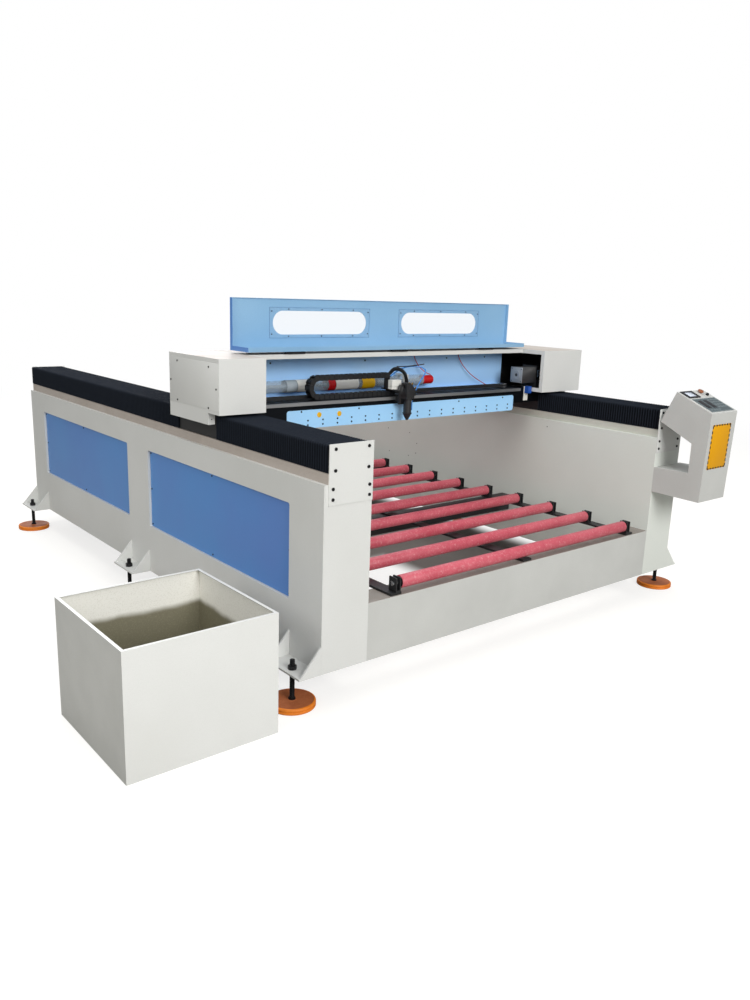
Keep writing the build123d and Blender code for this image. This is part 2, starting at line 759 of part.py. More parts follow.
belt_top = belt_bottom + belt_width
belt_inner = x_pulley_radius + belt_gap
with BuildPart() as drive_belts:
    # Belt of the head drive, flat over the deck.
    for grow, mode in ((belt_inner + belt_thickness, Mode.ADD), (belt_inner, Mode.SUBTRACT)):
        with BuildSketch(Plane.XY.offset(belt_bottom)):
            with Locations((left + (x_motor_x + x_idler_x) / 2, front + belt_axis_y)):
                SlotCenterToCenter(x_idler_x - x_motor_x, 2 * grow)
        extrude(amount=belt_width, mode=mode)
    # Belt of the gantry drive, from the motor down to the cross shaft.
    for grow, mode in ((belt_gap + belt_thickness, Mode.ADD), (belt_gap, Mode.SUBTRACT)):
        with BuildSketch(Plane.YZ.offset(left + y_pulley_left + 2)):
            with Locations((front + motor_y, motor_z)):
                Circle(motor_pulley_radius + grow)
            with Locations((front + drive_shaft_y, drive_shaft_z)):
                Circle(shaft_pulley_radius + grow)
            with BuildLine():
                Polyline(*belt_tangents(grow), close=True)
            make_face()
        extrude(amount=y_pulley_width - 4, mode=mode)
save(drive_belts, "drive_belts")

x_motor_size = 57.0
x_motor_height = 56.0
x_motor_bottom = belt_top + 6
with BuildPart() as motors:
    # The head drive motor hangs its shaft down through a bracket on the floor of the left box.
    half = x_motor_size / 2
    floor = box_bottom + box_sheet
    block(x_motor_x - half, x_motor_x + half, belt_axis_y - half, belt_axis_y + half,
          x_motor_bottom, x_motor_bottom + x_motor_height)
    block(x_motor_x - half - 14, x_motor_x + half, belt_axis_y - half, belt_axis_y + half,
          x_motor_bottom - 4, x_motor_bottom)
    block(x_motor_x - half - 14, x_motor_x - half - 10, belt_axis_y - half, belt_axis_y + half,
          floor, x_motor_bottom)
    block(x_motor_x - half - 44, x_motor_x - half - 10, belt_axis_y - half, belt_axis_y + half,
          floor, floor + 4)
    post(x_motor_x, belt_axis_y, x_motor_bottom - 5, x_motor_bottom + 24, 4 + running_clearance, Mode.SUBTRACT)
    # The gantry drive motor lies along the beam, on an upright plate in the right box.
    half = motor_size / 2
    plate_left = motor_left + motor_length
    block(motor_left, plate_left, motor_y - half, motor_y + half, motor_z - half, motor_z + half)
    block(plate_left, plate_left + 8, motor_y - half - 8, motor_y + half + 8, floor, motor_z + half + 8)
    block(plate_left, plate_left + 50, motor_y - half - 8, motor_y - half, floor, floor + 60)
    block(plate_left, plate_left + 50, motor_y - half - 8, motor_y + half + 8, floor, floor + 6)
    rod(plate_left - 30, plate_left + 9, motor_y, motor_z, 6 + running_clearance, Mode.SUBTRACT)
save(motors, "motors")

with BuildPart() as limit_switch:
    block(1970, 2003, girder_front - 3, girder_front, 975, 1056)
    block(1974, 2000, girder_front - 31, girder_front - 3, 1018, 1056)
    block(1974, 2000, girder_front - 34, girder_front - 31, 1024, 1030)
save(limit_switch, "limit_switch")

with BuildPart() as laser_tube:
    # A water jacket around the bore, closed by a disc at each end.
    rod(tube_left, tube_right, tube_y, tube_z, tube_radius)
    rod(tube_left + 3, tube_right - 3, tube_y, tube_z, tube_radius - 2.5, Mode.SUBTRACT)
    rod(tube_left, tube_right, tube_y, tube_z, 9)
    rod(tube_left - 1, tube_right + 1, tube_y, tube_z, 6.5, Mode.SUBTRACT)
save(laser_tube, "laser_tube")

with BuildPart() as tube_cap:
    rod(tube_right + part_gap, tube_right + cap_length, tube_y, tube_z, cap_radius)
    fillet(tube_cap.edges().filter_by(GeomType.CIRCLE).group_by(Axis.X)[-1], 6)
save(tube_cap, "tube_cap")

holder_places = (300.0, 1180.0)
mirror_x = 22.0
with BuildPart() as optics_mounts:
    # Two split holders carry the tube on the deck.
    for x in holder_places:
        block(x, x + holder_width, tube_y - 40, tube_y + 34, deck_top, tube_z + 36)
        rod(x - 1, x + holder_width + 1, tube_y, tube_z, tube_radius + part_gap, Mode.SUBTRACT)
        block(x - 1, x + holder_width + 1, tube_y - 41, tube_y + 35, tube_z - 0.5, tube_z + 0.5, Mode.SUBTRACT)
        block(x, x + holder_width, tube_y - 36, tube_y - 32, tube_z - 1, tube_z + 1)
        block(x, x + holder_width, tube_y + 30, tube_y + 33, tube_z - 1, tube_z + 1)
    # Two mirror mounts in the left box turn the beam toward the front and then along the rail.
    for y, turn in ((tube_y, -45), (head_y, 45)):
        block(mirror_x - 26, mirror_x - 2, y - 12, y + 12, floor, tube_z - 18)
        block(mirror_x - 26, mirror_x + 16, y - 14, y + 14, floor, floor + 5)
        with Locations(Location((left + mirror_x - 10, front + y, tube_z), (0, 0, turn))):
            Box(8, 40, 44)
save(optics_mounts, "optics_mounts")


def cord(points, radius):
    """Adds a round cord through a row of places to the part being built."""
    with BuildLine() as route:
        path = Spline(*[(left + x, front + y, z) for x, y, z in points])
    with BuildSketch(Plane(origin=path @ 0, z_dir=path % 0)) as section:
        Circle(radius)
    sweep(sections=section.sketch, path=route.line)


wire_places = (
    ((1312, 1012.8, 1240), (1314, 1008, 1212), (1330, 985, 1165), (1372, 965, 1130), (1398, 965, 1125.5)),
    ((1640, 1012.8, 1240), (1642, 1008, 1211), (1680, 995, 1150), (1760, 985, 1090), (1840, 972, 1052.2)),
)
with BuildPart() as tube_wires:
    for places in wire_places:
        cord(places, wire_radius)
save(tube_wires, "tube_wires")

chain_low = chain_low_z - chain_height / 2
chain_high_z = chain_low_z + 2 * chain_bend_radius
chain_front = chain_y - chain_width / 2
chain_back = chain_y + chain_width / 2


def chain_run(x0, x1, z):
    """A straight hollow run of the chain between two places along the beam."""
    half = chain_height / 2
    with BuildPart() as run:
        block(x0, x1, chain_front, chain_back, z - half, z + half)
        block(x0 - 1, x1 + 1, chain_front + chain_wall, chain_back - chain_wall,
              z - half + chain_wall, z + half - chain_wall, Mode.SUBTRACT)
        # Notches between the links.
        for n in range(1, int((x1 - x0) / chain_pitch)):
            x = x0 + n * chain_pitch
            for a, b in ((z - half - 1, z - half + 2), (z + half - 2, z + half + 1)):
                block(x - 2, x + 2, chain_front - 1, chain_back + 1, a, b, Mode.SUBTRACT)
    return run


save(chain_run(chain_bend_x + part_gap, chain_end_x, chain_low_z), "chain_lower")
save(chain_run(chain_bend_x + part_gap, chain_head_x, chain_high_z), "chain_upper")

with BuildPart() as chain_bend:
    centre = Location((left + chain_bend_x, front + chain_y, chain_low_z + chain_bend_radius), (-90, 0, 0))
    with Locations(centre):
        Cylinder(chain_bend_radius + chain_height / 2, chain_width)
        Cylinder(chain_bend_radius - chain_height / 2, chain_width + 2, mode=Mode.SUBTRACT)
    with Locations(centre):
        Cylinder(chain_bend_radius + chain_height / 2 - chain_wall, chain_width - 2 * chain_wall,
                 mode=Mode.SUBTRACT)
        Cylinder(chain_bend_radius - chain_height / 2 + chain_wall, chain_width - 2 * chain_wall)
        Cylinder(chain_bend_radius - chain_height / 2, chain_width, mode=Mode.SUBTRACT)
    block(chain_bend_x, chain_bend_x + 100, chain_front - 1, chain_back + 1, chain_low - 1,
          chain_high_z + chain_height, Mode.SUBTRACT)
save(chain_bend, "chain_bend")

plate_front = head_y + 21
block_front = girder_front - 40
arm_bottom = chain_low_z + chain_height / 2 + 4
clamp_y = belt_axis_y - belt_inner - belt_thickness
with BuildPart() as laser_head:
    # Bearing block on the rail and the upright plate in front of it.
    rail_top = x_rail_bottom + x_rail_height
    block(head_x - 36, head_x + 34, block_front, girder_front - 3, x_rail_bottom - 9, rail_top + 11)
    rail_face = girder_front - x_rail_thickness - part_gap
    block(head_x - 37, head_x + 35, rail_face, girder_front - 2, x_rail_bottom - part_gap,
          rail_top + part_gap, Mode.SUBTRACT)
    block(head_x - 38, head_x + 38, plate_front, block_front, x_rail_bottom - 20, tube_z + 6)
    block(head_x + 38, head_x + 72, plate_front + 1, plate_front + 5, 1050, 1058)
    # Mirror housing with a slanted mount at its upper corner.
    with BuildSketch(Plane.XZ.offset(-(front + head_y - 21))):
        with BuildLine():
            Polyline(
                (left + head_x - 27, tube_z - 40),
                (left + head_x + 25, tube_z - 40),
                (left + head_x + 42, tube_z - 25),
                (left + head_x - 2, tube_z + 19),
                (left + head_x - 27, tube_z + 19),
                close=True,
            )
        make_face()
    extrude(amount=-42)
    # Holder of the lens tube.
    block(head_x - 25, head_x + 25, head_y - 21, plate_front, tube_z - 112, tube_z - 39)
    post(head_x, head_y, tube_z - 113, tube_z - 42, 20 + running_clearance, Mode.SUBTRACT)
    post(head_x, head_y, tube_z - 43, tube_z, 12, Mode.SUBTRACT)
    rod(head_x - 28, head_x, head_y, tube_z, 10, Mode.SUBTRACT)
    # Three adjusting screws of the mirror mount.
    for along, y in ((-14, -12), (-14, 12), (16, -12)):
        centre = Location(
            (left + head_x + 20 + along * 0.7071, front + head_y + y, tube_z - 3 - along * 0.7071),
            (0, 45, 0),
        )
        with Locations(centre):
            Cylinder(4.5, 14, align=(Align.CENTER, Align.CENTER, Align.MIN))
    # Arm over the lower chain run to the belt clamp, with the bracket of the chain's end.
    block(chain_head_x + part_gap, head_x + 10, plate_front, clamp_y + 10, arm_bottom, arm_bottom + 6)
    block(chain_head_x + part_gap, chain_head_x + 5, chain_front, chain_back, arm_bottom,
          chain_high_z + chain_height / 2)
    block(chain_head_x + 4, chain_head_x + 6, chain_y - 8, chain_y + 8, chain_high_z - 8, chain_high_z + 8)
    block(head_x - 30, head_x, clamp_y - 9, clamp_y - part_gap, belt_bottom + 1, arm_bottom + 1)
    block(head_x - 30, head_x, clamp_y + belt_thickness + part_gap, clamp_y + 10, belt_bottom + 1,
          arm_bottom + 1)
save(laser_head, "laser_head")

with BuildPart() as terminal_block:
    block(chain_head_x - 6, head_x - 10, plate_front + 20, chain_front, arm_bottom + 6, arm_bottom + 18)
    block(chain_head_x - 6, head_x - 10, plate_front + 20, chain_front, arm_bottom + 20, arm_bottom + 50)
    block(chain_head_x, head_x - 14, plate_front + 24, chain_front - 4, arm_bottom + 17, arm_bottom + 21)
save(terminal_block, "terminal_block")

conduit_places = (
    (chain_head_x + 16, chain_y, chain_high_z + 4),
    (chain_head_x + 32, 818, 1176),
    (1026, 810, 1182),
    (1056, 796, 1168),
    (1066, 786, 1140),
    (1062, 776, tube_z + 9),
)
air_places = (
    (chain_head_x + 36, 839, 1140),
    (1050, 840, 1168),
    (1110, 826, 1189),
    (1154, 800, 1189),
    (1188, 785, 1179),
    (1184, 772, 1160),
    (1140, 762, 1120),
    (1100, 748, 1080),
    (1074, 740, 1056),
    (1063, 734, 1030),
    (1061.5, 732, 1000),
    (1061.5, 732, 984),
)
lead_places = (
    (chain_head_x + 44, 800, 1192),
    (1090, 806, 1188),
    (1195, 800, 1199),
)
with BuildPart() as head_hoses:
    for places, radius in ((conduit_places, 9.0), (air_places, 3.0), (lead_places, 2.5)):
        cord(places, radius)
save(head_hoses, "head_hoses")

with BuildPart() as lens_tube:
    post(head_x, head_y, tube_z - 128, tube_z - 52, 20)
    with Locations((left + head_x, front + head_y, tube_z - 164)):
        Cone(5, 24, 36, align=(Align.CENTER, Align.CENTER, Align.MIN))
    post(head_x, head_y, tube_z - 120, tube_z - 51, 15, Mode.SUBTRACT)
    post(head_x, head_y, tube_z - 165, tube_z - 119, 2, Mode.SUBTRACT)
save(lens_tube, "lens_tube")

with BuildPart() as x_pulley:
    post(x_motor_x, belt_axis_y, belt_bottom - 1.5, belt_top + 1.5, x_pulley_radius)
    for z in (belt_bottom - 1.5, belt_top + 0.5):
        post(x_motor_x, belt_axis_y, z, z + 1, x_pulley_radius + 4)
    post(x_motor_x, belt_axis_y, belt_top, x_motor_bottom + 20, 4)
save(x_pulley, "x_pulley")

with BuildPart() as x_idler:
    post(x_idler_x, belt_axis_y, belt_bottom - 1.5, belt_top + 1.5, x_pulley_radius)
    for z in (belt_bottom - 1.5, belt_top + 0.5):
        post(x_idler_x, belt_axis_y, z, z + 1, x_pulley_radius + 4)
    post(x_idler_x, belt_axis_y, belt_bottom - 2, belt_top + 2, idler_pin_radius + running_clearance, Mode.SUBTRACT)
save(x_idler, "x_idler")

with BuildPart() as y_pulley:
    rod(y_pulley_left, y_pulley_left + y_pulley_width, motor_y, motor_z, motor_pulley_radius)
    for x in (y_pulley_left, y_pulley_left + y_pulley_width - 1.5):
        rod(x, x + 1.5, motor_y, motor_z, motor_pulley_radius + 4)
    rod(motor_left + motor_length - 26, y_pulley_left, motor_y, motor_z, 6)
save(y_pulley, "y_pulley")


def involute(angle):
    return math.tan(angle) - angle


def pinion_outline():
    """Corner points of the pinion, with an involute tooth pointing straight down."""
    base = pinion_radius * math.cos(pressure_angle)
    root = pinion_radius - 1.25 * gear_module
    tip = pinion_radius + tooth_height * gear_module
    radii = [base + (tip - base) * n / 5 for n in range(6)]
    halves = [
        half_tooth / pinion_radius + involute(pressure_angle) - involute(math.acos(min(1.0, base / r)))
        for r in radii
    ]
    flank = [(root, halves[0])] + list(zip(radii, halves))
    points = []
    for n in range(pinion_teeth):
        turn = 2 * math.pi * n / pinion_teeth - math.pi / 2
        points += [(r, turn - half) for r, half in flank]
        points += [(r, turn + half) for r, half in reversed(flank)]
    return [
        (front + drive_shaft_y + r * math.cos(a), drive_shaft_z + r * math.sin(a)) for r, a in points
    ]


with BuildPart() as drive_shaft:
    for side in sides:
        k0, k1 = span(rack_from_face, rack_from_face + rack_width, side)
        with BuildSketch(Plane.YZ.offset(left + k0)):
            with BuildLine():
                Polyline(*pinion_outline(), close=True)
            make_face()
        extrude(amount=k1 - k0)
    shaft_end = rack_from_face - 4
    rod(shaft_end, outer_width - shaft_end, drive_shaft_y, drive_shaft_z, drive_shaft_radius)
    rod(y_pulley_left, y_pulley_left + y_pulley_width, drive_shaft_y, drive_shaft_z, shaft_pulley_radius)
save(drive_shaft, "drive_shaft")

# Hood, standing open above the roof.
hood_top = hood_flange_z + hood_height
lip_y = hinge_y - 4
window_centre = (hood_left + hood_right) / 2
window_places = (window_centre - window_spacing / 2 - 10, window_centre + window_spacing / 2 - 10)
with BuildPart() as hood:
    y1 = hood_panel_y
    y0 = hood_panel_y - hood_sheet - hood_lip
    block(hood_left, hood_right, y0, y1, hood_flange_z, hood_top)
    block(hood_left, hood_right, lip_y, y1, hood_flange_z, hood_flange_z + hood_lip)
    inner_left = hood_left + hood_sheet
    inner_right = hood_right - hood_sheet
    block(inner_left, inner_right, y0 - 1, y1 - hood_sheet, hood_flange_z + hood_sheet,
          hood_top - hood_sheet, Mode.SUBTRACT)
    block(inner_left, inner_right, lip_y + hood_sheet, y1 - hood_sheet, hood_flange_z + hood_sheet,
          hood_flange_z + hood_lip + 1, Mode.SUBTRACT)
    # The free edge has a short lip, which passes in front of the laser head when the hood is shut.
    block(inner_left, inner_right, y0 - 1, y1 - hood_sheet - hood_free_lip, hood_top - hood_sheet - 1,
          hood_top + 1, Mode.SUBTRACT)
    with BuildSketch(Plane.XZ.offset(-(front + y1 - hood_sheet - 1))):
        for x in window_places:
            with Locations((left + x, window_axis_z)):
                SlotOverall(window_length, window_height)
    extrude(amount=-hood_sheet - 2, mode=Mode.SUBTRACT)
    # Moving halves of the hinges.
    for n in range(3):
        xc = hinge_first + n * hinge_spacing
        half = hinge_width / 6 - part_gap
        block(xc - hinge_width / 2, xc + hinge_width / 2, hinge_y + 7, hinge_y + hinge_leaf,
              hood_flange_z - 2.5, hood_flange_z)
        block(xc - half, xc + half, hinge_y + 1, hinge_y + 8, hood_flange_z - 4.5, hood_flange_z - 1.2)
        rod(xc - half, xc + half, hinge_y, hinge_z, hinge_radius)
        rod(xc - half - 1, xc + half + 1, hinge_y, hinge_z, hinge_pin_radius + running_clearance, Mode.SUBTRACT)
save(hood, "hood")

with BuildPart() as window_panes:
    y1 = hood_panel_y - hood_sheet
    for x in window_places:
        block(x - window_length / 2 - pane_margin_x, x + window_length / 2 + pane_margin_x,
              y1 - pane_thickness, y1,
              window_axis_z - window_height / 2 - pane_margin_z,
              window_axis_z + window_height / 2 + pane_margin_z)
save(window_panes, "window_panes")

# Console on the front of the right wall.
console_slope_back = (-80.0, 1113.0)
console_slope_front = (-console_front, 1029.0)
slope_length = math.dist(console_slope_back, console_slope_front)
slope_turn = math.atan2(
    console_slope_back[1] - console_slope_front[1],
    console_slope_back[0] - console_slope_front[0],
)
slope_normal = (0, -math.sin(slope_turn), math.cos(slope_turn))
console_outline = [
    (-9.0, 957.0),
    console_slope_back,
    console_slope_front,
    (-264.0, 586.0),
    (0.0, 592.0),
    (0.0, 720.0),
    (-191.0, 723.0),
    (-190.0, 871.0),
]


def slope_plane(x, along):
    """A plane on the console's slope, a distance down from its back edge."""
    y = console_slope_back[0] - along * math.cos(slope_turn)
    z = console_slope_back[1] - along * math.sin(slope_turn)
    return Plane(origin=(left + x, front + y, z), x_dir=(1, 0, 0), z_dir=slope_normal)


button_place = (2266.0, 24.0)
knob_place = (2290.0, 52.0)
stem_radius = 6.0
button_radius = 15.0
button_travel = 5.0
knob_radius = 8.0
with BuildPart() as console_housing:
    for inset, x0, x1, mode in (
        (0.0, console_left, console_right, Mode.ADD),
        (-console_sheet, console_left + console_sheet, console_right - console_sheet, Mode.SUBTRACT),
    ):
        with BuildSketch(Plane.YZ.offset(left + x0)):
            with BuildLine():
                Polyline(*[(front + y, z) for y, z in console_outline], close=True)
            make_face()
            if inset:
                offset(amount=inset, kind=Kind.INTERSECTION, mode=Mode.REPLACE)
        extrude(amount=x1 - x0, mode=mode)
    for place in (button_place, knob_place):
        with BuildSketch(slope_plane(*place).offset(1)):
            Circle(stem_radius + part_gap)
        extrude(amount=-console_sheet - 2, mode=Mode.SUBTRACT)
save(console_housing, "console_housing")

with BuildPart() as console_panel:
    with BuildSketch(slope_plane(2158, 36)):
        RectangleRounded(104, 62, 4)
    extrude(amount=4)
    with BuildSketch(slope_plane(2214, 140)):
        RectangleRounded(206, 124, 5)
    extrude(amount=2)
save(console_panel, "console_panel")

with BuildPart() as stop_button:
    with BuildSketch(slope_plane(*button_place).offset(button_travel + 1)):
        Circle(button_radius)
    extrude(amount=10)
    with BuildSketch(slope_plane(*button_place).offset(-24)):
        Circle(stem_radius)
    extrude(amount=24 + button_travel + 2)
save(stop_button, "stop_button")

with BuildPart() as control_knob:
    with BuildSketch(slope_plane(*knob_place).offset(part_gap)):
        Circle(knob_radius)
    extrude(amount=12)
    with BuildSketch(slope_plane(*knob_place).offset(-16)):
        Circle(stem_radius)
    extrude(amount=17)
save(control_knob, "control_knob")

tray_right = -box_gap
tray_left = tray_right - tray_width
tray_back = -tray_front + tray_length
with BuildPart() as accessory_box:
    y0 = -tray_front
    block(tray_left, tray_right, y0, tray_back, 0, tray_height)
    block(tray_left + tray_sheet, tray_right - tray_sheet, y0 + tray_sheet, tray_back - tray_sheet,
          tray_sheet, tray_height + 1, Mode.SUBTRACT)
    # Hemmed rim turned inward.
    block(tray_left, tray_right, y0, tray_back, tray_height - tray_sheet, tray_height)
    block(tray_left + tray_rim, tray_right - tray_rim, y0 + tray_rim, tray_back - tray_rim,
          tray_height - tray_sheet - 1, tray_height + 1, Mode.SUBTRACT)
save(accessory_box, "accessory_box")

with BuildPart() as control_electronics:
    # Power supply, drives and controller on the inner skin behind the right front panel.
    skin = wall_width - plate
    y0 = windows[0][0]
    for a, b, z0, z1, deep in (
        (80, 420, 440, 640, 110),
        (480, 640, 440, 700, 80),
        (680, 800, 440, 600, 60),
        (840, 960, 440, 600, 60),
        (1010, 1160, 440, 680, 90),
    ):
        e0, e1 = span(skin - deep, skin, "right")
        block(e0, e1, y0 + a, y0 + b, z0, z1)
save(control_electronics, "control_electronics")
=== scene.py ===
import bpy, bmesh, math
from mathutils import Matrix, Vector


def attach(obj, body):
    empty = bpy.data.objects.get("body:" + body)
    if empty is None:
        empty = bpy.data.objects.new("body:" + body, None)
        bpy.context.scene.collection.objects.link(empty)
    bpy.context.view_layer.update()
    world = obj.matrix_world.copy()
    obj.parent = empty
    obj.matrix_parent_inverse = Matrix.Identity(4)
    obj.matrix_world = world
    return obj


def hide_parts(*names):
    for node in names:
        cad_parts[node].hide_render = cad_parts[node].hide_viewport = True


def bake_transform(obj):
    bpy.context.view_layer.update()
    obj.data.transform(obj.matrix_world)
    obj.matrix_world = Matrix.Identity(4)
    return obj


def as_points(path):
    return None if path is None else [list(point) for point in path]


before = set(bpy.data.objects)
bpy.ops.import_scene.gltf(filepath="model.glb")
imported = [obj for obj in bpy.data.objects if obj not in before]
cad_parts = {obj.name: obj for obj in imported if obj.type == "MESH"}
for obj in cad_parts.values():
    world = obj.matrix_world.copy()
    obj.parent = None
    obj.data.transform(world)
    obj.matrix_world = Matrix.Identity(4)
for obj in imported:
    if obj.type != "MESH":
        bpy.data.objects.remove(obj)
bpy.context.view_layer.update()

print("frame loaded,", len(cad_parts), "nodes")

# The machine is drawn in its own millimetres: x from the left wall, y from the front, z from the floor.
leftEdge = -838.0
frontEdge = -1440.5
toFrame = Matrix.Scale(0.001, 4) @ Matrix.Translation((leftEdge, frontEdge, 0))
fromFrame = toFrame.inverted()
wallToWall = 2310.0


def newObject(name, data):
    thing = bpy.data.objects.new(name, data)
    bpy.context.scene.collection.objects.link(thing)
    return thing


def newMesh(name, form):
    mesh = bpy.data.meshes.new(name)
    form.to_mesh(mesh)
    form.free()
    return mesh


cameraFacts = {"at": (-2.5666, -3.7944, 1.5392), "yaw": 39.846, "pitch": 13.783, "roll": 1.956, "lens": 30.38,
               "sensor": 36, "reach": 200}


def setCamera(facts):
    yaw, pitch, roll = (math.radians(facts[k]) for k in ("yaw", "pitch", "roll"))
    ahead = Vector((math.sin(yaw) * math.cos(pitch), math.cos(yaw) * math.cos(pitch), -math.sin(pitch)))
    side = Vector((math.cos(yaw), -math.sin(yaw), 0))
    above = side.cross(ahead)
    sideTurned = side * math.cos(roll) + above * math.sin(roll)
    aboveTurned = above * math.cos(roll) - side * math.sin(roll)
    data = bpy.data.cameras.new("camera")
    data.sensor_fit, data.sensor_height = "VERTICAL", facts["sensor"]
    data.lens, data.clip_end = facts["lens"], facts["reach"]
    camera = newObject("camera", data)
    turn = Matrix((sideTurned, aboveTurned, -ahead)).transposed().to_4x4()
    camera.matrix_world = Matrix.Translation(facts["at"]) @ turn
    bpy.context.scene.camera = camera


setCamera(cameraFacts)
bpy.context.scene.view_settings.view_transform = "Standard"


def linear(hexText):
    # An sRGB hex value as the linear colour that a socket takes.
    out = []
    for i in (0, 2, 4):
        c = int(hexText.lstrip("#")[i:i + 2], 16) / 255
        out.append(c / 12.92 if c <= 0.04045 else ((c + 0.055) / 1.055) ** 2.4)
    return (*out, 1.0)


def setInputs(tree, node, inputs):
    for key, value in inputs.items():
        if isinstance(value, bpy.types.NodeSocket):
            tree.links.new(value, node.inputs[key])
        else:
            node.inputs[key].default_value = value


def addNode(tree, kind, inputs=None, **settings):
    node = tree.nodes.new(kind)
    for key, value in settings.items():
        setattr(node, key, value)
    setInputs(tree, node, inputs or {})
    return node


def stain(tree, under, over, pattern, span, most=1.0):
    # Lays one colour over another as a pattern rises through a span.
    share = addNode(tree, "ShaderNodeMapRange", {"Value": pattern, "From Min": span[0], "From Max": span[1],
                                                 "To Max": most})
    tones = addNode(tree, "ShaderNodeMix", {"Factor": share.outputs[0], "A": under, "B": over},
                    data_type="RGBA")
    return tones.outputs["Result"]


def seenDirectly(tree):
    # 1 for the camera's own rays and those that went through glass, 0 for all that light other things.
    ray = addNode(tree, "ShaderNodeLightPath")
    return addNode(tree, "ShaderNodeMath", {0: ray.outputs["Is Camera Ray"],
                                            1: ray.outputs["Is Transmission Ray"]},
                   operation="MAXIMUM").outputs[0]


lampFacts = {
    "key": {"at": (-1.4, -10.0, 5.0), "size": 5.0, "power": 740, "colour": "#fffefc"},
    "side": {"at": (-6.5, -2.5, 4.6), "size": 4.0, "power": 170, "colour": "#fffdf8"},
    "top": {"at": (0.5, 1.0, 6.8), "size": 6.0, "power": 230, "colour": "#ffffff"},
    "back": {"at": (2.5, 7.0, 4.5), "size": 5.0, "power": 200, "colour": "#fbfcff"},
}
studioFacts = {"aim": (0.3, 0, 0.6), "air": "#eef0f2", "ambient": 0.40, "background": 1.0}


def setLights(lamps, studio):
    for name, facts in lamps.items():
        data = bpy.data.lights.new(name, "AREA")
        data.shape, data.size, data.energy = "DISK", facts["size"], facts["power"]
        data.color = linear(facts["colour"])[:3]
        lamp = newObject(name, data)
        lamp.location = facts["at"]
        ahead = Vector(studio["aim"]) - Vector(facts["at"])
        lamp.rotation_euler = ahead.to_track_quat("-Z", "Y").to_euler()
    world = bpy.data.worlds.new("studio")
    bpy.context.scene.world = world
    world.use_nodes = True
    tree = world.node_tree
    tree.nodes.clear()
    ambient = addNode(tree, "ShaderNodeBackground",
                      {"Color": linear(studio["air"]), "Strength": studio["ambient"]})
    white = addNode(tree, "ShaderNodeBackground", {"Color": (1, 1, 1, 1), "Strength": studio["background"]})
    both = addNode(tree, "ShaderNodeMixShader", {0: seenDirectly(tree), 1: ambient.outputs[0],
                                                 2: white.outputs[0]})
    addNode(tree, "ShaderNodeOutputWorld", {"Surface": both.outputs[0]})


setLights(lampFacts, studioFacts)


def newMaterial(name):
    material = bpy.data.materials.new(name)
    material.use_nodes = True
    tree = material.node_tree
    tree.nodes.clear()
    return material, tree, addNode(tree, "ShaderNodeTexCoord").outputs["Object"]


floorFacts = {"radius": 30.0, "albedo": "#a3a19c", "paintedShadowTone": "#7f7b77", "glow": 0.72, "fade": (5.0, 9.0),
              "soft": 0.18, "shades": (((1.06, 0.55), (0.40, 1.10)), ((0.58, 0.80), (0.86, 0.83)))}


def setFloor(facts):
    # A pale floor that keeps the machine's soft shadow and runs out into white further off. Below the roller
    # bed it is left to the lamps alone, and its paint turns darker there: a painted shadow under the machine.
    form = bmesh.new()
    bmesh.ops.create_circle(form, cap_ends=True, segments=64, radius=facts["radius"])
    floor = newObject("floor", newMesh("floor", form))
    material, tree, place = newMaterial("paleStudioFloor")
    reach = addNode(tree, "ShaderNodeVectorMath", {0: place}, operation="LENGTH")
    near, far = facts["fade"]
    fade = addNode(tree, "ShaderNodeMapRange", {"Value": reach.outputs["Value"], "From Min": near,
                                                "From Max": far}, interpolation_type="SMOOTHSTEP")
    reaches = []
    for middle, half in facts["shades"]:
        away = addNode(tree, "ShaderNodeVectorMath", {0: place, 1: (*middle, 0.0)}, operation="SUBTRACT")
        flat = addNode(tree, "ShaderNodeVectorMath", {0: away.outputs[0]}, operation="ABSOLUTE")
        past = addNode(tree, "ShaderNodeVectorMath", {0: flat.outputs[0], 1: (*half, 1.0)},
                       operation="SUBTRACT")
        parts = addNode(tree, "ShaderNodeSeparateXYZ", {0: past.outputs[0]})
        larger = addNode(tree, "ShaderNodeMath", {0: parts.outputs[0], 1: parts.outputs[1]},
                         operation="MAXIMUM")
        reaches.append(larger.outputs[0])
    outside = addNode(tree, "ShaderNodeMath", dict(enumerate(reaches)), operation="MINIMUM").outputs[0]
    bright = addNode(tree, "ShaderNodeMapRange", {"Value": outside, "From Max": facts["soft"],
                                                  "To Max": facts["glow"]}, interpolation_type="SMOOTHSTEP")
    # Painted shadow: inside the zones under the machine the paint takes the darker shadow tone.
    tone = stain(tree, linear(facts["paintedShadowTone"]), linear(facts["albedo"]), outside, (0, facts["soft"]))
    paint = addNode(tree, "ShaderNodeBsdfDiffuse", {"Color": tone})
    glow = addNode(tree, "ShaderNodeEmission", {"Color": (1, 1, 1, 1), "Strength": bright.outputs[0]})
    lit = addNode(tree, "ShaderNodeAddShader", {0: paint.outputs[0], 1: glow.outputs[0]})
    white = addNode(tree, "ShaderNodeEmission", {"Color": (1, 1, 1, 1), "Strength": 1.0})
    shown = addNode(tree, "ShaderNodeMixShader", {0: fade.outputs[0], 1: lit.outputs[0], 2: white.outputs[0]})
    plain = addNode(tree, "ShaderNodeMixShader", {0: seenDirectly(tree), 1: paint.outputs[0],
                                                  2: shown.outputs[0]})
    addNode(tree, "ShaderNodeOutputMaterial", {"Surface": plain.outputs[0]})
    floor.data.materials.append(material)


setFloor(floorFacts)
print("camera, light and floor set")


def newFinish(name):
    material, tree, place = newMaterial(name)
    shader = addNode(tree, "ShaderNodeBsdfPrincipled")
    addNode(tree, "ShaderNodeOutputMaterial", {"Surface": shader.outputs[0]})
    return material, tree, place, shader


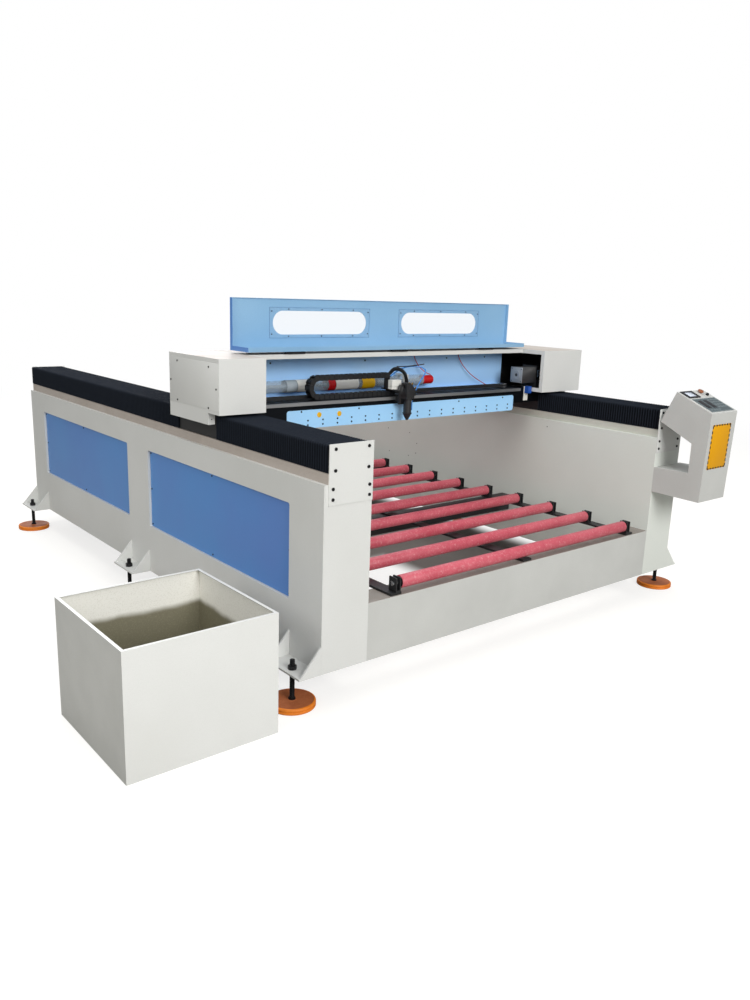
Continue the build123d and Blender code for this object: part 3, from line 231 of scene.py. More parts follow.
usualFinish = {"cloudMm": 600, "cloudSpan": (0.35, 0.7), "grainMm": 8, "grainSpan": (0.45, 0.75),
               "grainShare": 0.35, "stretch": (1, 1, 1), "glossSpan": (0.3, 0.7), "relief": 0.15,
               "reliefMm": 0.2, "metal": 0.0}
finishSockets = {"metal": "Metallic", "coat": "Coat Weight", "coatRough": "Coat Roughness",
                 "specular": "Specular IOR Level"}


def dressFinish(name, given):
    # One recipe for painted, moulded, cast and ground surfaces: clouding of the colour, a finer second tone,
    # uneven gloss and a fine relief, each at its own real size in millimetres. Its tones are the surface's
    # own colour, then its clouds' and its grain's.
    facts = {**usualFinish, **given}
    material, tree, place, shader = newFinish(name)
    own, clouds, grains = (linear(tone) for tone in facts["tones"])
    drawn = addNode(tree, "ShaderNodeMapping", {"Vector": place, "Scale": facts["stretch"]})
    cloud = addNode(tree, "ShaderNodeTexNoise", {"Vector": place, "Scale": 1000 / facts["cloudMm"],
                                                 "Detail": 3.0, "Roughness": 0.55}).outputs["Fac"]
    grain = addNode(tree, "ShaderNodeTexNoise", {"Vector": drawn.outputs[0], "Scale": 1000 / facts["grainMm"],
                                                 "Detail": 2.0, "Roughness": 0.6}).outputs["Fac"]
    clouded = stain(tree, own, clouds, cloud, facts["cloudSpan"])
    grained = stain(tree, clouded, grains, grain, facts["grainSpan"], facts["grainShare"])
    (start, end), (low, high) = facts["glossSpan"], facts["rough"]
    gloss = addNode(tree, "ShaderNodeMapRange", {"Value": cloud, "From Min": start, "From Max": end,
                                                 "To Min": low, "To Max": high})
    relief = addNode(tree, "ShaderNodeBump", {"Height": grain, "Strength": facts["relief"],
                                              "Distance": facts["reliefMm"] / 1000})
    setInputs(tree, shader, {"Base Color": grained, "Roughness": gloss.outputs[0],
                             "Normal": relief.outputs[0]})
    setInputs(tree, shader, {socket: facts[key] for key, socket in finishSockets.items() if key in facts})
    return material


finishFacts = {
    # Powder-coated sheet steel: a faint orange peel and soft satin shine, slightly clouded by handling.
    "creamPowderCoat": {"tones": ("#dbdcda", "#d3d4d1", "#cccdca"), "grainMm": 3.5, "grainShare": 0.25,
                        "rough": (0.34, 0.46), "relief": 0.10, "reliefMm": 0.15},
    # A whiter batch of the coat on the accessory box, and a greyer one on the console; the greyer coat is
    # also painted shade on the beams and on the box's left side.
    "whitePowderCoat": {"tones": ("#e3e4e2", "#dbdcd9", "#d3d4d1"), "grainMm": 3.5, "grainShare": 0.25,
                        "rough": (0.34, 0.46), "relief": 0.10, "reliefMm": 0.15},
    "greyAndShadePowderCoat": {"tones": ("#c8c9c6", "#bfc0bd", "#b6b7b3"), "grainMm": 3.0, "cloudMm": 300,
                       "rough": (0.36, 0.5), "relief": 0.14, "reliefMm": 0.15},
    # A batch a touch greener on the right wall, which the rollers' pink light turns neutral, and a darker
    # grey on its ledge that is painted shade.
    "greenishPowderCoat": {"tones": ("#e0e4de", "#d9ddd7", "#d2d6d0"), "grainMm": 3.5,
                           "grainShare": 0.25, "rough": (0.34, 0.46), "relief": 0.10, "reliefMm": 0.15},
    "shadedPaleLedgeCoat": {"tones": ("#c9c9bf", "#bfbfb5", "#b4b4a9"), "grainMm": 5, "cloudMm": 250,
                       "rough": (0.45, 0.65), "relief": 0.15},
    # The coat on the beams' tops, a dark grey-brown that is a painted reflection of the dark surroundings.
    "darkReflectionPowderCoat": {"tones": ("#928b84", "#7e7770", "#a59f98"), "grainMm": 5, "cloudMm": 180,
                        "rough": (0.5, 0.7), "relief": 0.2},
    # The coat on the ledge under the bellows, a darker warm grey: painted shade with a pinkish painted
    # reflection.
    "shadedLedgePowderCoat": {"tones": ("#b9b0a8", "#ada39a", "#a39990"), "grainMm": 5, "cloudMm": 250,
                        "rough": (0.5, 0.7), "relief": 0.15},
    # The coat on the boxes' and roof's tops, a shade browner: a painted reflection of the brownish
    # surroundings.
    "brownReflectionPowderCoat": {"tones": ("#cfc9c2", "#bdb2a8", "#b7aea6"), "grainMm": 4, "cloudMm": 350,
                         "rough": (0.4, 0.55), "relief": 0.12},
    # Dark grey inside the drive box, painted shade for its hollow.
    "paintedShadeGrey": {"tones": ("#33322f", "#3c3a36", "#2a2926"), "grainMm": 4, "rough": (0.55, 0.7),
                   "relief": 0.15},
    # Satin stove enamel on the wall panels; on the hood's left edge it is painted shade.
    "panelBlueEnamel": {"tones": ("#4f90d6", "#5c88d0", "#4584ca"), "grainMm": 3, "cloudMm": 700,
                        "rough": (0.26, 0.4), "relief": 0.08},
    # The paler enamel of the hood and the gantry's linings.
    "skyBlueEnamel": {"tones": ("#82adcf", "#8db6d6", "#78a2c5"), "grainMm": 3, "cloudMm": 400,
                      "rough": (0.3, 0.42), "relief": 0.08},
    # The gantry's own panels in a paler blue of the same enamel, which is also a painted highlight on the
    # hood's lip.
    "paleBlueHighlightEnamel": {"tones": ("#9ed3fc", "#a8d8fd", "#92c9f4"), "grainMm": 3, "cloudMm": 400,
                        "rough": (0.3, 0.42), "relief": 0.08},
    # The same enamel on the gantry's back panel, paler and brighter: painted light for its dim place inside
    # the gantry.
    "litBackPanelEnamel": {"tones": ("#a3d0fd", "#aed6fe", "#96c6f8"), "grainMm": 3, "cloudMm": 400,
                       "rough": (0.3, 0.42), "relief": 0.08},
    # Black painted bar and brackets with dusty high spots.
    "blackStovePaint": {"tones": ("#17181a", "#232427", "#2b2b2c"), "grainMm": 5, "rough": (0.38, 0.6),
                        "relief": 0.2},
    # Oil-blackened steel of screws, nuts and studs.
    "blackOxideSteel": {"tones": ("#1b1b1d", "#2a2a2d", "#3a3a3c"), "grainMm": 1.5, "metal": 0.6,
                        "rough": (0.3, 0.45), "relief": 0.2, "reliefMm": 0.05},
    # Ground and hardened guide steel, bright with fine marks along its length.
    "groundSteel": {"tones": ("#b9bcc0", "#a9adb2", "#8f9398"), "grainMm": 0.8, "stretch": (1, 0.05, 1),
                    "metal": 1.0, "rough": (0.2, 0.32), "relief": 0.1, "reliefMm": 0.02},
    # Dull zinc plating on brackets and tabs.
    "zincPlate": {"tones": ("#b4b6b8", "#9fa3a6", "#8b8e91"), "grainMm": 6, "metal": 1.0,
                  "rough": (0.35, 0.5), "relief": 0.15, "reliefMm": 0.05},
    # Dark anodised extrusion, drawn along X.
    "darkAnodised": {"tones": ("#15181d", "#1c2026", "#0f1114"), "grainMm": 1.2, "stretch": (0.04, 1, 1),
                     "metal": 0.85, "rough": (0.28, 0.4), "relief": 0.15, "reliefMm": 0.03},
    # The same extrusion anodised clear.
    "clearAnodised": {"tones": ("#b3b5b8", "#c0c2c5", "#989b9f"), "grainMm": 1.2, "stretch": (0.04, 1, 1),
                      "metal": 1.0, "rough": (0.28, 0.4), "relief": 0.12, "reliefMm": 0.03},
    # Cast orange rubber of the levelling pads, mould-matt with scuffs.
    "castOrangeRubber": {"tones": ("#f08a26", "#e27a18", "#cf6d14"), "grainMm": 7, "cloudMm": 60,
                         "rough": (0.4, 0.6), "relief": 0.25, "reliefMm": 0.4},
    "brownPadTop": {"tones": ("#b96c40", "#a65c34", "#94502c"), "grainMm": 5, "cloudMm": 50,
                    "rough": (0.5, 0.7), "relief": 0.3, "reliefMm": 0.3},
    # Baked enamel of the motors' bodies, near black with a satin shine.
    "motorEnamel": {"tones": ("#2c2d2f", "#38393b", "#232425"), "grainMm": 2, "rough": (0.35, 0.5)},
    # Die-cast aluminium of the motors' caps, matt and slightly grainy.
    "motorCastGrey": {"tones": ("#a3abb4", "#949ca6", "#858d96"), "grainMm": 2, "metal": 0.3,
                      "rough": (0.4, 0.55), "relief": 0.3},
    # Injection-moulded black nylon of the energy chain.
    "mouldedNylon": {"tones": ("#111215", "#18191c", "#1f2023"), "grainMm": 1.5, "rough": (0.26, 0.4),
                     "relief": 0.25, "reliefMm": 0.05},
    # Extruded rubber of belts, conduit and leads, black with a soft shine.
    "blackRubberHose": {"tones": ("#131314", "#1b1b1d", "#262627"), "grainMm": 2, "rough": (0.4, 0.55)},
    # Machined nylon blocks, a warm white with a low shine.
    "whiteNylon": {"tones": ("#e4e4df", "#dadad4", "#cfcfc8"), "grainMm": 3, "rough": (0.38, 0.5)},
    # Cast silicone of the tube's end cap, a full even red.
    "redSilicone": {"tones": ("#c8151b", "#b51017", "#a30d14"), "grainMm": 3, "rough": (0.3, 0.42)},
    # Silicone insulation of the high voltage leads.
    "redWire": {"tones": ("#c2161c", "#b01218", "#a01016"), "grainMm": 3, "rough": (0.3, 0.4)},
    # Polyurethane air hose, bright and glossy.
    "blueHose": {"tones": ("#2f7fd0", "#2a74c0", "#2469b0"), "grainMm": 4, "rough": (0.18, 0.28),
                 "coat": 0.3, "coatRough": 0.1},
    # Turned brass, warm and bright under fine tool marks.
    "turnedBrass": {"tones": ("#c39a4a", "#b88d3d", "#a57b30"), "grainMm": 1, "metal": 1.0,
                    "rough": (0.2, 0.3)},
    # Smooth vinyl film, an even yellow and a duller orange, and further down black and white.
    "yellowVinyl": {"tones": ("#e6b414", "#deaa0e", "#cf9c08"), "grainMm": 4, "rough": (0.3, 0.4)},
    "orangeVinyl": {"tones": ("#e3a304", "#dc9b02", "#cf9000"), "grainMm": 4, "rough": (0.4, 0.5),
                    "specular": 0.25},
    # Pale smoked sleeve round the tube's left end.
    "paleSleeve": {"tones": ("#8f9aa3", "#a6b0b8", "#7d8890"), "grainMm": 4, "rough": (0.3, 0.4)},
    # Slate-grey membrane foil of the keypad, slightly satin.
    "slateMembrane": {"tones": ("#4d595d", "#57646a", "#454f53"), "grainMm": 2, "rough": (0.3, 0.42)},
    "blackVinyl": {"tones": ("#171310", "#1e1a16", "#26211c"), "grainMm": 3, "rough": (0.35, 0.45)},
    "whiteVinyl": {"tones": ("#e9e9e6", "#e0e0dc", "#d6d6d1"), "grainMm": 4, "rough": (0.3, 0.4)},
    # Moulded housing of the limit switch.
    "bluePlastic": {"tones": ("#2458b4", "#1f4fa6", "#1a4596"), "grainMm": 3, "rough": (0.3, 0.4)},
    # Fine-textured moulding of the display's bezel.
    "darkPanelPlastic": {"tones": ("#1d1e23", "#25262b", "#17181c"), "grainMm": 1.5,
                         "rough": (0.35, 0.48), "relief": 0.2, "reliefMm": 0.04},
    # Embossed keys and borders, a shade lighter than the foil.
    "greyKeyPlastic": {"tones": ("#6c777b", "#737e82", "#646f73"), "grainMm": 2, "rough": (0.35, 0.45)},
    # The display's lit window under glossy film.
    "paleDisplay": {"tones": ("#e2e9f6", "#d5dff0", "#c9d5ea"), "grainMm": 2, "rough": (0.12, 0.2),
                    "coat": 0.5, "coatRough": 0.05},
    # Moulded plastic of the stop button, its red browned, with a glossy skin.
    "stopRed": {"tones": ("#9c5a34", "#8d4f2c", "#7d4525"), "grainMm": 3, "rough": (0.22, 0.3),
                "coat": 0.3, "coatRough": 0.1},
}
finishes = {name: dressFinish(name, facts) for name, facts in finishFacts.items()}

# Polyurethane-coated polyester: a tight weave under a dull dusty skin, the crests of the pleats rubbed grey.
clothFacts = {"tones": ("#06080c", "#0b0e14", "#1b212b"), "threadsPerMetre": 700.0, "dustPerMetre": 7.0,
              "dustSpan": (0.4, 0.75), "rough": (0.62, 0.85), "relief": 0.3, "reliefMm": 0.2,
              "specular": 0.12}


def makeBellowsCloth(facts):
    material, tree, place, shader = newFinish("bellowsCloth")
    skin, dusty, rubbed = (linear(tone) for tone in facts["tones"])
    weave = addNode(tree, "ShaderNodeTexNoise", {"Vector": place, "Scale": facts["threadsPerMetre"],
                                                 "Detail": 1.0})
    dust = addNode(tree, "ShaderNodeTexNoise", {"Vector": place, "Scale": facts["dustPerMetre"],
                                                "Detail": 5.0, "Roughness": 0.65}).outputs["Fac"]
    crest = addNode(tree, "ShaderNodeAttribute", attribute_name="crest")
    body = stain(tree, skin, dusty, dust, facts["dustSpan"])
    worn = addNode(tree, "ShaderNodeMix", {"Factor": crest.outputs["Fac"], "A": body, "B": rubbed},
                   data_type="RGBA")
    low, high = facts["rough"]
    rough = addNode(tree, "ShaderNodeMapRange", {"Value": dust, "To Min": low, "To Max": high})
    relief = addNode(tree, "ShaderNodeBump", {"Height": weave.outputs["Fac"], "Strength": facts["relief"],
                                              "Distance": facts["reliefMm"] / 1000})
    setInputs(tree, shader, {"Base Color": worn.outputs["Result"], "Roughness": rough.outputs[0],
                             "Normal": relief.outputs[0], "Specular IOR Level": facts["specular"]})
    return material


# Ground polyurethane sleeve: matt rose red, faint rings from grinding, chalky scuffs where sheets slide.
sleeveFacts = {"tones": ("#bb4a59", "#c95f6c", "#e0b2b5"), "ringsPerMetre": 160.0,
               "ringStretch": (1, 0.02, 0.02), "cloudsPerMetre": 9.0, "cloudSpan": (0.35, 0.7),
               "marksPerMetre": 95.0, "markSpan": (0.52, 0.72), "markShare": 0.6, "rough": (0.36, 0.55),
               "relief": 0.15, "reliefMm": 0.3}


def makeRollerSleeve(facts):
    material, tree, place, shader = newFinish("rollerSleeve")
    own, clouded, chalk = (linear(tone) for tone in facts["tones"])
    rings = addNode(tree, "ShaderNodeMapping", {"Vector": place, "Scale": facts["ringStretch"]})
    ground = addNode(tree, "ShaderNodeTexNoise", {"Vector": rings.outputs[0], "Scale": facts["ringsPerMetre"],
                                                  "Detail": 2.0})
    cloud = addNode(tree, "ShaderNodeTexNoise", {"Vector": place, "Scale": facts["cloudsPerMetre"],
                                                 "Detail": 4.0, "Roughness": 0.6}).outputs["Fac"]
    marks = addNode(tree, "ShaderNodeTexNoise", {"Vector": place, "Scale": facts["marksPerMetre"],
                                                 "Detail": 6.0, "Roughness": 0.8}).outputs["Fac"]
    body = stain(tree, own, clouded, cloud, facts["cloudSpan"])
    worn = stain(tree, body, chalk, marks, facts["markSpan"], facts["markShare"])
    low, high = facts["rough"]
    rough = addNode(tree, "ShaderNodeMapRange", {"Value": cloud, "To Min": low, "To Max": high})
    relief = addNode(tree, "ShaderNodeBump", {"Height": ground.outputs["Fac"], "Strength": facts["relief"],
                                              "Distance": facts["reliefMm"] / 1000})
    setInputs(tree, shader, {"Base Color": worn, "Roughness": rough.outputs[0], "Normal": relief.outputs[0]})
    return material


# The coat inside the open accessory box: painted light under the rim, brighter than the outside coat, and a
# painted shadow further down.
insideFacts = {"tones": ("#77735f", "#ecebe4", "#a8a48f"), "driftPerMetre": 4.0, "drift": 0.05,
               "litFrom": (0.335, 0.368), "grainPerMetre": 220.0, "grainSpan": (0.5, 0.8),
               "grainShare": 0.3, "rough": (0.45, 0.7)}


def makeBoxInside(facts):
    material, tree, place, shader = newFinish("creamInside")
    shadowedTone, coated, grains = (linear(tone) for tone in facts["tones"])
    level = addNode(tree, "ShaderNodeSeparateXYZ", {0: place}).outputs[2]
    drift = addNode(tree, "ShaderNodeTexNoise", {"Vector": place, "Scale": facts["driftPerMetre"],
                                                 "Detail": 4.0}).outputs["Fac"]
    edge = addNode(tree, "ShaderNodeMath", {0: drift, 1: facts["drift"], 2: level}, operation="MULTIPLY_ADD")
    start, end = facts["litFrom"]
    litShare = addNode(tree, "ShaderNodeMapRange", {"Value": edge.outputs[0], "From Min": start,
                                                 "From Max": end}, interpolation_type="SMOOTHSTEP")
    tone = addNode(tree, "ShaderNodeMix", {"Factor": litShare.outputs[0], "A": shadowedTone, "B": coated},
                   data_type="RGBA")
    grain = addNode(tree, "ShaderNodeTexNoise", {"Vector": place, "Scale": facts["grainPerMetre"],
                                                 "Detail": 3.0})
    coat = stain(tree, tone.outputs["Result"], grains, grain.outputs["Fac"], facts["grainSpan"],
                 facts["grainShare"])
    low, high = facts["rough"]
    rough = addNode(tree, "ShaderNodeMapRange", {"Value": drift, "To Min": low, "To Max": high})
    setInputs(tree, shader, {"Base Color": coat, "Roughness": rough.outputs[0]})
    return material


# Clear glass and acrylic drawn as thin skins: mostly open to what lies behind, with a tint and reflections.
clearFacts = {"tubeGlass": {"tint": "#c9d8e4", "rough": (0.04, 0.10), "share": 0.22},
              "clearAcrylic": {"tint": "#b9d4ec", "rough": (0.04, 0.10), "share": 0.10},
              "acrylicEdge": {"tint": "#5d86b4", "rough": (0.15, 0.21), "share": 0.75}}


def makeClear(name, facts):
    material, tree, place, shader = newFinish(name)
    smear = addNode(tree, "ShaderNodeTexNoise", {"Vector": place, "Scale": 12.0, "Detail": 3.0})
    low, high = facts["rough"]
    gloss = addNode(tree, "ShaderNodeMapRange", {"Value": smear.outputs["Fac"], "To Min": low,
                                                 "To Max": high})
    setInputs(tree, shader, {"Roughness": gloss.outputs[0], "Base Color": linear(facts["tint"]), "IOR": 1.49,
                             "Alpha": facts["share"]})
    return material


finishes["bellowsCloth"] = makeBellowsCloth(clothFacts)
finishes["creamInside"] = makeBoxInside(insideFacts)
finishes["rollerSleeve"] = makeRollerSleeve(sleeveFacts)
for name, facts in clearFacts.items():
    finishes[name] = makeClear(name, facts)
print("finishes made")

# The shapes below are drawn in machine millimetres and turned to the frame's metres last.
boxQuads = ((0, 1, 3, 2), (4, 6, 7, 5), (0, 4, 5, 1), (2, 3, 7, 6), (0, 2, 6, 4), (1, 5, 7, 3))


def softenEdges(form, faces, radius, trim=None):
    edges = list({e for f in faces for e in f.edges})
    paint = faces[0].material_index if trim is None else trim
    made = bmesh.ops.bevel(form, geom=edges, offset=radius, segments=2, profile=0.5, affect="EDGES")
    for f in made["faces"]:
        f.material_index = paint


def addBox(form, x, y, z, paint=0, edge=0.0, trim=None):
    verts = [form.verts.new((a, b, c)) for a in x for b in y for c in z]
    faces = [form.faces.new([verts[i] for i in quad]) for quad in boxQuads]
    for f in faces:
        f.material_index = paint
    if edge:
        softenEdges(form, faces, edge, trim=trim)


def addPrism(form, outline, axis, depth, paint=0, edge=0.0):
    # An outline in the two other axes, drawn through the depth along the named axis.
    def spot(a, b, c):
        return {"x": (c, a, b), "y": (a, c, b), "z": (a, b, c)}[axis]
    rows = [[form.verts.new(spot(a, b, c)) for a, b in outline] for c in depth]
    faces = [form.faces.new(rows[0]), form.faces.new(rows[1])]
    n = len(outline)
    for i in range(n):
        faces.append(form.faces.new((rows[0][i], rows[0][(i + 1) % n], rows[1][(i + 1) % n], rows[1][i])))
    for f in faces:
        f.material_index = paint
    if edge:
        softenEdges(form, faces, edge)


def ringAround(form, centre, a, b, radius, sides):
    turns = [2 * math.pi * i / sides for i in range(sides)]
    return [form.verts.new(centre + (a * math.cos(t) + b * math.sin(t)) * radius) for t in turns]


def addTurned(form, at, direction, profile, sides=24, paint=0, paints=None):
    # A turned form: a profile entry is a distance along the axis and a radius, and a radius of 0 closes it.
    d = Vector(direction).normalized()
    a = d.orthogonal().normalized()
    b = d.cross(a)
    origin = Vector(at)
    rings = []
    for along, radius in profile:
        centre = origin + d * along
        if radius <= 0:
            rings.append([form.verts.new(centre)])
        else:
            rings.append(ringAround(form, centre, a, b, radius, sides))
    for n, (low, high) in enumerate(zip(rings, rings[1:])):
        colour = paints[n] if paints else paint
        for i in range(sides):
            j = (i + 1) % sides
            corners = [low[i % len(low)], low[j % len(low)], high[j % len(high)], high[i % len(high)]]
            corners = list(dict.fromkeys(corners))
            if len(corners) > 2:
                form.faces.new(corners).material_index = colour
    if profile[0] == profile[-1]:
        bmesh.ops.remove_doubles(form, verts=rings[0] + rings[-1], dist=1e-5)
    else:
        for end in (0, -1):
            if len(rings[end]) > 2:
                form.faces.new(rings[end]).material_index = paints[end] if paints else paint


def addTube(form, points, radius, sides, ripple):
    # A round tube along points, its frame carried from ring to ring; ripple changes the radius by ring.
    last = len(points) - 1
    tangents = [(points[min(i + 1, last)] - points[max(i - 1, 0)]).normalized() for i in range(len(points))]
    normal = tangents[0].orthogonal().normalized()
    rings = []
    for i, (p, t) in enumerate(zip(points, tangents)):
        normal = (normal - t * normal.dot(t)).normalized()
        rings.append(ringAround(form, p, normal, t.cross(normal), radius * ripple(i), sides))
    for low, high in zip(rings, rings[1:]):
        for k in range(sides):
            m = (k + 1) % sides
            form.faces.new((low[k], low[m], high[m], high[k]))
    form.faces.new(rings[0])
    form.faces.new(rings[-1])


def hexagon(cx, cy, acrossFlats, turn=0.0):
    r = acrossFlats / math.sqrt(3)
    return [(cx + r * math.cos(math.radians(60 * i + turn)), cy + r * math.sin(math.radians(60 * i + turn)))
            for i in range(6)]


def shadeByAngle(mesh):
    mesh.shade_smooth()
    mesh.set_sharp_from_angle(angle=math.radians(32))


def seat(piece, body, stands, slot):
    if body:
        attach(piece, body)
    if stands:
        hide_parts(*stands)
    return piece


def makePiece(name, form, paints, body, stands=(), slot=None, turn=None, smooth=True):
    bmesh.ops.recalc_face_normals(form, faces=form.faces[:])
    form.transform(toFrame @ turn if turn else toFrame)
    mesh = newMesh(name, form)
    for paint in paints:
        mesh.materials.append(finishes[paint])
    if smooth:
        shadeByAngle(mesh)
    return seat(newObject(name, mesh), body, stands, slot)


def redress(node, paints, rule, body, slot, curved=False):
    # A copy of a CAD part whose faces take their finish by where they lie, given in machine millimetres.
    form = bmesh.new()
    form.from_mesh(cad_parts[node].data)
    bmesh.ops.remove_doubles(form, verts=form.verts[:], dist=1e-6)
    for f in form.faces:
        f.material_index = rule(fromFrame @ f.calc_center_median(), f.normal)
    mesh = newMesh(node + "_dressed", form)
    for paint in paints:
        mesh.materials.append(finishes[paint])
    if curved:
        shadeByAngle(mesh)
    else:
        mesh.shade_flat()
    return seat(newObject(node + "_dressed", mesh), body, (node,), slot)


# CAD parts that keep their shape and take one finish all over.
plainNodes = {
    "end_plates": "creamPowderCoat", "side_panels": "panelBlueEnamel", "bed_rails": "blackStovePaint",
    "guides": "groundSteel", "control_electronics": "zincPlate", "trucks": "blackStovePaint",
    "gantry_beam": "darkAnodised", "x_rail": "clearAnodised", "drive_shaft": "groundSteel",
    "drive_belts": "blackRubberHose", "x_pulley": "clearAnodised", "x_idler": "clearAnodised",
    "y_pulley": "clearAnodised", "tube_cap": "redSilicone", "optics_mounts": "whiteNylon",
    "terminal_block": "whiteNylon", "lens_tube": "blackStovePaint", "console_housing": "greyAndShadePowderCoat",
}
for node, finish in plainNodes.items():
    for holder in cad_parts[node].material_slots:
        holder.material = finishes[finish]


def newTree(name, inputs):
    tree = bpy.data.node_groups.new(name, "GeometryNodeTree")
    tree.interface.new_socket("Geometry", in_out="INPUT", socket_type="NodeSocketGeometry")
    for label, kind, value in inputs:
        socket = tree.interface.new_socket(label, in_out="INPUT", socket_type="NodeSocket" + kind)
        if value is not None:
            socket.default_value = value
    tree.interface.new_socket("Geometry", in_out="OUTPUT", socket_type="NodeSocketGeometry")
    return tree, tree.nodes.new("NodeGroupInput").outputs


def makeScatterTree():
    # Sets one shape on every point of a cloud, its Z axis along the point's facing.
    tree, given = newTree("shapeOnPoints", (("Shape", "Object", None), ("Finish", "Material", None)))
    shape = addNode(tree, "GeometryNodeObjectInfo", {"Object": given["Shape"]}, transform_space="ORIGINAL")
    facing = addNode(tree, "GeometryNodeInputNamedAttribute", {"Name": "facing"}, data_type="FLOAT_VECTOR")
    turn = addNode(tree, "FunctionNodeAlignRotationToVector", {"Vector": facing.outputs[0]}, axis="Z")
    spread = addNode(tree, "GeometryNodeInstanceOnPoints", {"Points": given["Geometry"],
                                                            "Instance": shape.outputs["Geometry"],
                                                            "Rotation": turn.outputs[0]})
    real = addNode(tree, "GeometryNodeRealizeInstances", {"Geometry": spread.outputs[0]})
    paint = addNode(tree, "GeometryNodeSetMaterial",
                    {"Geometry": real.outputs[0], "Material": given["Finish"]})
    addNode(tree, "NodeGroupOutput", {"Geometry": paint.outputs[0]})
    return tree


def makeRowTree():
    # Repeats the given shape along a straight line, joins the copies where they meet.
    tree, given = newTree("shapeInRow", (("Count", "Int", 4), ("Step", "Vector", None),
                                         ("Join", "Float", 0.00001), ("Finish", "Material", None)))
    line = addNode(tree, "GeometryNodeMeshLine", {"Count": given["Count"], "Offset": given["Step"]},
                   mode="OFFSET")
    spread = addNode(tree, "GeometryNodeInstanceOnPoints",
                     {"Points": line.outputs[0], "Instance": given["Geometry"]})
    real = addNode(tree, "GeometryNodeRealizeInstances", {"Geometry": spread.outputs[0]})
    joined = addNode(tree, "GeometryNodeMergeByDistance",
                     {"Geometry": real.outputs[0], "Distance": given["Join"]})
    paint = addNode(tree, "GeometryNodeSetMaterial",
                    {"Geometry": joined.outputs[0], "Material": given["Finish"]})
    addNode(tree, "NodeGroupOutput", {"Geometry": paint.outputs[0]})
    return tree


scatterTree = makeScatterTree()
rowTree = makeRowTree()


def meshOf(piece):
    # The mesh that a piece's modifiers or its curve give.
    bpy.context.view_layer.update()
    return bpy.data.meshes.new_from_object(piece.evaluated_get(bpy.context.evaluated_depsgraph_get()))


def grow(name, tree, mesh, values, body, stands=(), slot=None, smooth=True):
    # Runs a tree on a mesh and keeps the outcome as one plain piece.
    piece = newObject(name, mesh)
    modifier = piece.modifiers.new(name, "NODES")
    modifier.node_group = tree
    for item in tree.interface.items_tree:
        if item.item_type == "SOCKET" and item.in_out == "INPUT" and item.name in values:
            modifier[item.identifier] = values[item.name]
    made = meshOf(piece)
    piece.modifiers.remove(modifier)
    piece.data = made
    made.name = name
    if smooth:
        shadeByAngle(made)
    return seat(piece, body, stands, slot)


def keepShape(name, form):
    # A shape drawn in millimetres round the origin, set aside to be repeated.
    bmesh.ops.recalc_face_normals(form, faces=form.faces[:])
    form.transform(Matrix.Scale(0.001, 4))
    return newObject(name, newMesh(name, form))


def screwShape(name, radius, height, recess):
    # A cap with a chamfered rim and a six-sided recess, standing on z = 0.
    form = bmesh.new()
    rows = ((0, radius), (height * 0.7, radius), (height, radius * 0.84), (height, recess),
            (height * 0.35, recess))
    rings = []
    for n, (z, r) in enumerate(rows):
        ring = []
        for i in range(12):
            pull = math.cos(math.radians(30)) if n > 2 and i % 2 else 1
            a = math.radians(30 * i)
            ring.append(form.verts.new((r * pull * math.cos(a), r * pull * math.sin(a), z)))
        rings.append(ring)
    for low, high in zip(rings, rings[1:]):
        for i in range(12):
            form.faces.new((low[i], low[(i + 1) % 12], high[(i + 1) % 12], high[i]))
    form.faces.new(rings[-1])
    form.faces.new(rings[0][::-1])
    return keepShape(name, form)


chainFacts = {"pitch": 28.0, "height": 24.0, "width": 40.0, "cheek": 2.8, "gap": 0.8, "cut": (4, 3.5),
              "tongue": {"x": (-5, 6), "thick": 2, "inset": 4}, "bar": {"inset": 7, "below": (1, 4)},
              "hoses": (-9, 1, 10), "hoseSize": 8, "y": 822.0, "lowZ": 1062.5, "highZ": 1150.5,
              "bendX": 552.3, "bendLinks": 5, "radius": 44.0, "fixedX": 1010.0, "headX": 970.0,
              "shares": (0, 0.12, 0.3, 0.5, 0.7, 0.88, 1)}


def linkShape(facts):
    # One link of the energy chain, along X: two waisted cheeks, the tongues that reach into the next link,
    # the two cross bars that close it, and its length of the hoses inside.
    form = bmesh.new()
    half, tall, wide, wall = facts["pitch"] / 2, facts["height"] / 2, facts["width"] / 2, facts["cheek"]
    tongue, bar, gap, (cutX, cutZ) = facts["tongue"], facts["bar"], facts["gap"], facts["cut"]
    upper = [(half - gap, tall - cutZ), (half - cutX, tall), (-half + cutX, tall), (-half + gap, tall - cutZ)]
    outline = [(-x, -z) for x, z in upper] + upper
    inner = wide - wall
    for s in (-1, 1):
        addPrism(form, outline, "y", sorted((s * wide, s * inner)))
        addBox(form, [x - half for x in tongue["x"]], sorted((s * inner, s * (inner - tongue["thick"]))),
               (-tall + tongue["inset"], tall - tongue["inset"]))
        addBox(form, (-half + bar["inset"], half - bar["inset"]), (-inner, inner),
               sorted(s * (tall - below) for below in bar["below"]))
    for y in facts["hoses"]:
        addPrism(form, hexagon(y, 0, facts["hoseSize"]), "x", (-half, half))
    return keepShape("chainLink", form)


repeatShapes = {
    "capScrew": screwShape("capScrew", 6.5, 4.0, 3.0),
    "panScrew": screwShape("panScrew", 4.2, 2.2, 1.9),
    "smallScrew": screwShape("smallScrew", 3.0, 1.6, 1.4),
    "chainLink": linkShape(chainFacts),
}


def scatter(name, places, shape, finish, body, stands=(), slot="black_steel"):
    # places holds pairs of a point and the way its screw faces, in machine millimetres.
    mesh = bpy.data.meshes.new(name)
    mesh.from_pydata([toFrame @ Vector(p) for p, _ in places], [], [])
    facing = mesh.attributes.new("facing", "FLOAT_VECTOR", "POINT")
    facing.data.foreach_set("vector", [c for _, way in places for c in Vector(way).normalized()])
    return grow(name, scatterTree, mesh, {"Shape": repeatShapes[shape], "Finish": finishes[finish]}, body,
                stands, slot)


def mirrored(x, side):
    return x if side < 0 else wallToWall - x


